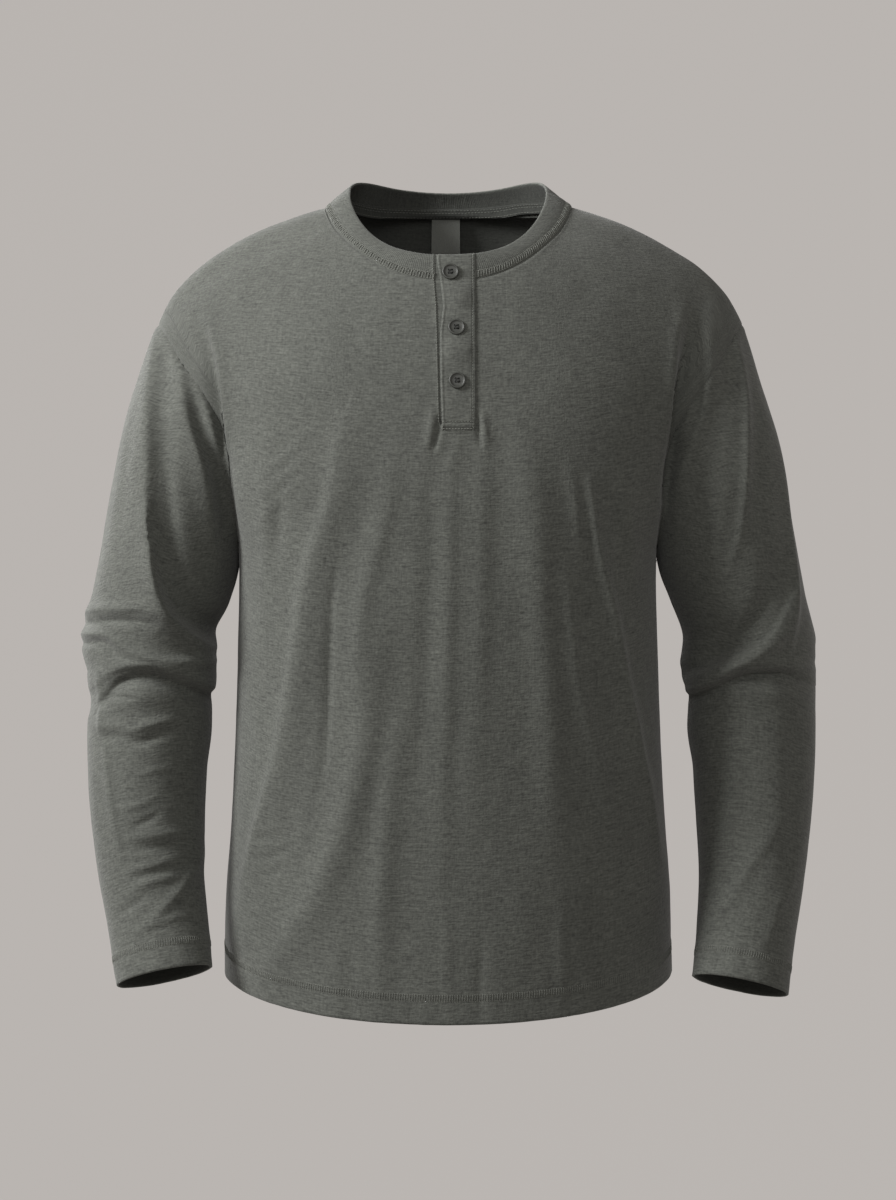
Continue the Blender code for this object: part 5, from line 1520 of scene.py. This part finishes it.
def area_light(name, place, size, power):
    """A round soft light that is aimed at the shirt and isn't seen itself."""
    lamp = bpy.data.lights.new(name, "AREA")
    lamp.shape, lamp.size, lamp.energy = "DISK", size, power
    made = bpy.data.objects.new(name, lamp)
    bpy.context.scene.collection.objects.link(made)
    made.location = place
    made.rotation_euler = (Vector(AIM) - Vector(place)).to_track_quat("-Z", "Y").to_euler()
    made.visible_camera = False


def make_stage():
    """A pale floor that curves up into a wall all round."""
    bend = np.linspace(0, math.pi / 2, BEND_STEPS + 1)[1:]
    profile = [(FLOOR_MIDDLE, FLOOR), (STAGE_REACH, FLOOR)]
    profile += [(STAGE_REACH + STAGE_BEND * math.sin(a), FLOOR + STAGE_BEND * (1 - math.cos(a)))
                for a in bend]
    profile.append((STAGE_REACH + STAGE_BEND, STAGE_TOP))
    points, faces = turned(profile, STAGE_STEPS)
    faces.append(tuple(range(STAGE_STEPS)))
    mesh = bpy.data.meshes.new("stage")
    mesh.from_pydata(points, [], faces)
    mesh.shade_smooth()
    made, _, shader = principled("stage", STAGE_COLOUR, 1.0)
    shader.inputs["Specular IOR Level"].default_value = 0.0
    shader.inputs["Emission Color"].default_value = (*BACKDROP, 1)
    shader.inputs["Emission Strength"].default_value = STAGE_GLOW
    mesh.materials.append(made)
    stage = bpy.data.objects.new("stage", mesh)
    bpy.context.scene.collection.objects.link(stage)
    stage.visible_diffuse = False    # the world lights the shirt, not the stage's own glow


def make_world():
    """Even light from all sides."""
    world = bpy.data.worlds.new("studio")
    world.use_nodes = True
    background = world.node_tree.nodes["Background"]
    background.inputs["Color"].default_value = (*BACKDROP, 1)
    background.inputs["Strength"].default_value = ROOM
    bpy.context.scene.world = world


def make_camera():
    """A level camera straight in front."""
    lens = bpy.data.cameras.new("camera")
    lens.sensor_width = SENSOR
    lens.lens = LENS
    made = bpy.data.objects.new("camera", lens)
    made.location = CAMERA
    made.rotation_euler = (math.pi / 2, 0, 0)
    bpy.context.scene.collection.objects.link(made)
    bpy.context.scene.camera = made


# ---------------------------------------------------------------- the shirt

def cut_pieces():
    """The panels' and sleeves' smooth grids, with the places across of the body's columns and
    the two columns at which the opening lies."""
    across, opening = columns()
    low = KNOTS[ARMPIT]
    rows = np.concatenate([np.linspace(0, HEM_ZONE, HEM_ROWS + 1)[:-1],
                           np.linspace(HEM_ZONE, low, LOW_ROWS - HEM_ROWS + 1)[:-1],
                           low + closing(TOP - low, HIGH_ROWS)])
    front, back = body_panel(True, rows, across), body_panel(False, rows, across)
    close_side_seams(front, back, across, LOW_ROWS)
    smooth_armpits(front, LOW_ROWS)
    smooth_armpits(back, LOW_ROWS)
    sleeves = {}
    for side, name in ((-1, "sleeve_right"), (1, "sleeve_left")):
        column = 0 if side < 0 else -1
        armhole = np.concatenate([front[LOW_ROWS:, column], back[LOW_ROWS + 1:-1, column][::-1]])
        sleeves[name] = sleeve(armhole, side)
        fair_armhole(front, back, sleeves[name], column, LOW_ROWS)
    return front, back, sleeves, across, opening


def raise_edge(front, column):
    """Raises the front's turned edge beside the opening, whose right column is given."""
    near = ((np.arange(front.shape[0]) > 0)[:, None]
            & (np.abs(np.arange(front.shape[1]) - column) < OPENING_COLUMNS_NEAR)[None])
    beside = front[:, [column], 0] - front[..., 0]
    edge = BODY_EDGE * bell(beside - EDGE_AT, EDGE_AT) * near
    front[..., 1] -= edge * ease((front[..., 2] - STRIP_FOOT) / BODY_EDGE_FADE)


def make_panels(skin, opening, looks):
    """The cloth of the body and the sleeves, and its normals."""
    normals = skin.normals()
    pieces = {}
    for name, grid in skin.grids.items():
        sleeve_piece = skin.wraps[name]
        keep = None
        if name == "front_body":
            height = grid[:, opening[0], 2]
            foot = 2 * int(np.searchsorted(height, OPENING_FOOT) // 2)
            keep = np.ones((grid.shape[0] - 1, grid.shape[1] - 1), bool)
            keep[foot:, opening[0]:opening[1]] = False
        up = run_length(grid)
        hem = up[-1] - up if sleeve_piece else up
        # the cloth's inside is painted darker, as shade
        pieces[name] = shell(name + "_cloth", grid, normals[name], hem_thickness(hem),
                             looks["jersey"], keep=keep, wraps=sleeve_piece,
                             flip=skin.flip[name],
                             round_rows=(len(grid) - 1 if sleeve_piece else 0,),
                             painted_shade_look=looks["jersey_inside_painted_shade"])
        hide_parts(name)
    return pieces, normals


def make_neckband(skin, neck, opening, looks):
    """The ribbed band, from one edge of the opening round to the other."""
    front, back = skin.grids["front_body"][-1], skin.grids["back_body"][-1]
    foot = np.concatenate([front[neck[neck >= opening[1]]], back[neck][::-1][1:-1],
                           front[neck[neck <= opening[0]]]])
    band = band_rows(respaced(foot, BAND_COLUMNS + 1), BAND_ROWS_EVEN)
    share = np.arange(BAND_ROWS_EVEN + 1) / BAND_ROWS_EVEN
    up = run_length(band)
    height = up[-1].mean()
    shares = np.interp(height - closing(height, BAND_ROWS)[::-1], up.mean(axis=1), share)
    band, = sample(share[:, None], shares[:, None], band)
    over = run_length(band[len(band) // 2])[None]
    up = run_length(band)
    relief = SEAM_DEPTH * (1 - bell(up, SEAM_WIDTH)) * (1 - BAND_SEAM_FADE * up / up[-1])
    ribs = RIB_RISE * np.cos(2 * math.pi * over / RIB_PITCH)
    relief = relief + ribs * ease(up / RIB_FOOT) * ease((up[-1] - up + RIB_TOP) / RIB_TOP_FADE)
    for row in BAND_STITCH:
        relief = relief - BAND_STITCH_PULL * bell(up - row, BAND_STITCH_WIDTH)
    relief = relief + BAND_WAVE * lattice_noise(band, BAND_WAVE_SIZE, BAND_WAVE_SEED)
    relief = relief + BODY_EDGE * bell(over[:, -1:] - over - EDGE_AT, EDGE_AT)
    normals = grid_normals(band)
    band = band + normals * relief[..., None]
    # the band's inside is painted darker, as shade
    made = shell("neckband_cloth", band, normals, BAND_CLOTH, looks["rib"], lining_step=1,
                 round_rows=(BAND_ROWS,), painted_shade_look=looks["rib_inside_painted_shade"])
    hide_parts("neckband")
    return made, band, normals


def build():
    """The whole shirt."""
    looks = {name: knit(name, *values) for name, values in KNITS.items()}
    looks["button"] = plastic("button", BUTTON, BUTTON_ROUGHNESS)
    for name, colour, roughness in (("thread", THREAD, THREAD_ROUGHNESS),
                                    ("button_thread", BUTTON_THREAD, BUTTON_THREAD_ROUGHNESS)):
        looks[name], _, _ = principled(name, colour, roughness)

    front, back, sleeves, across, opening = cut_pieces()
    skin = Skin()
    skin.add("front_body", front)
    skin.add("back_body", back, flip=True)
    for name, grid in sleeves.items():
        skin.add(name, grid, wraps=True, flip=name.endswith("left"))
    skin.weld()
    soften(skin, np.concatenate([grid[0, ::4] for grid in sleeves.values()]))
    slant_opening(skin.grids["front_body"], opening[0])
    chest = Chest(skin.grids["front_body"])
    sew(skin)
    raise_edge(skin.grids["front_body"], opening[0])
    pieces, normals = make_panels(skin, opening, looks)
    neck = np.flatnonzero(np.abs(across) < NECK_ACROSS + 1e-6)
    neckband, band, band_normals = make_neckband(skin, neck, opening, looks)
    upper, under, placket_stitches = make_placket(chest, looks)
    make_buttons(chest, looks)
    tape, label, tape_stitches = make_tape_and_label(skin.grids["back_body"], neck, looks)

    heights = (HEM_DEPTH - STITCH_ROWS / 2, HEM_DEPTH, HEM_DEPTH + STITCH_ROWS / 2)
    for name, grid in skin.grids.items():
        edge = slice(None, -HEM_EDGE_ROWS, -1) if skin.wraps[name] else slice(HEM_EDGE_ROWS)
        lines = lines_along(grid[edge], normals[name][edge], heights, closed=skin.wraps[name])
        made = cover_stitch(name + "_stitches", lines, HEM_STITCHES, looks["thread"])
        declare(pieces[name])
    heights = (BAND_STITCH[0], sum(BAND_STITCH) / 2, BAND_STITCH[1])
    lines = lines_along(band, band_normals, heights)
    made = cover_stitch("neckband_stitches", lines, BAND_STITCHES, looks["thread"])
    declare(neckband)
    declare(upper)
    declare(under)
    declare(tape)
    declare(label)


build()
make_stage()
make_world()
for name, place, size, power in LIGHTS:
    area_light(name, place, size, power)
make_camera()
bpy.context.scene.view_settings.view_transform = "Standard"
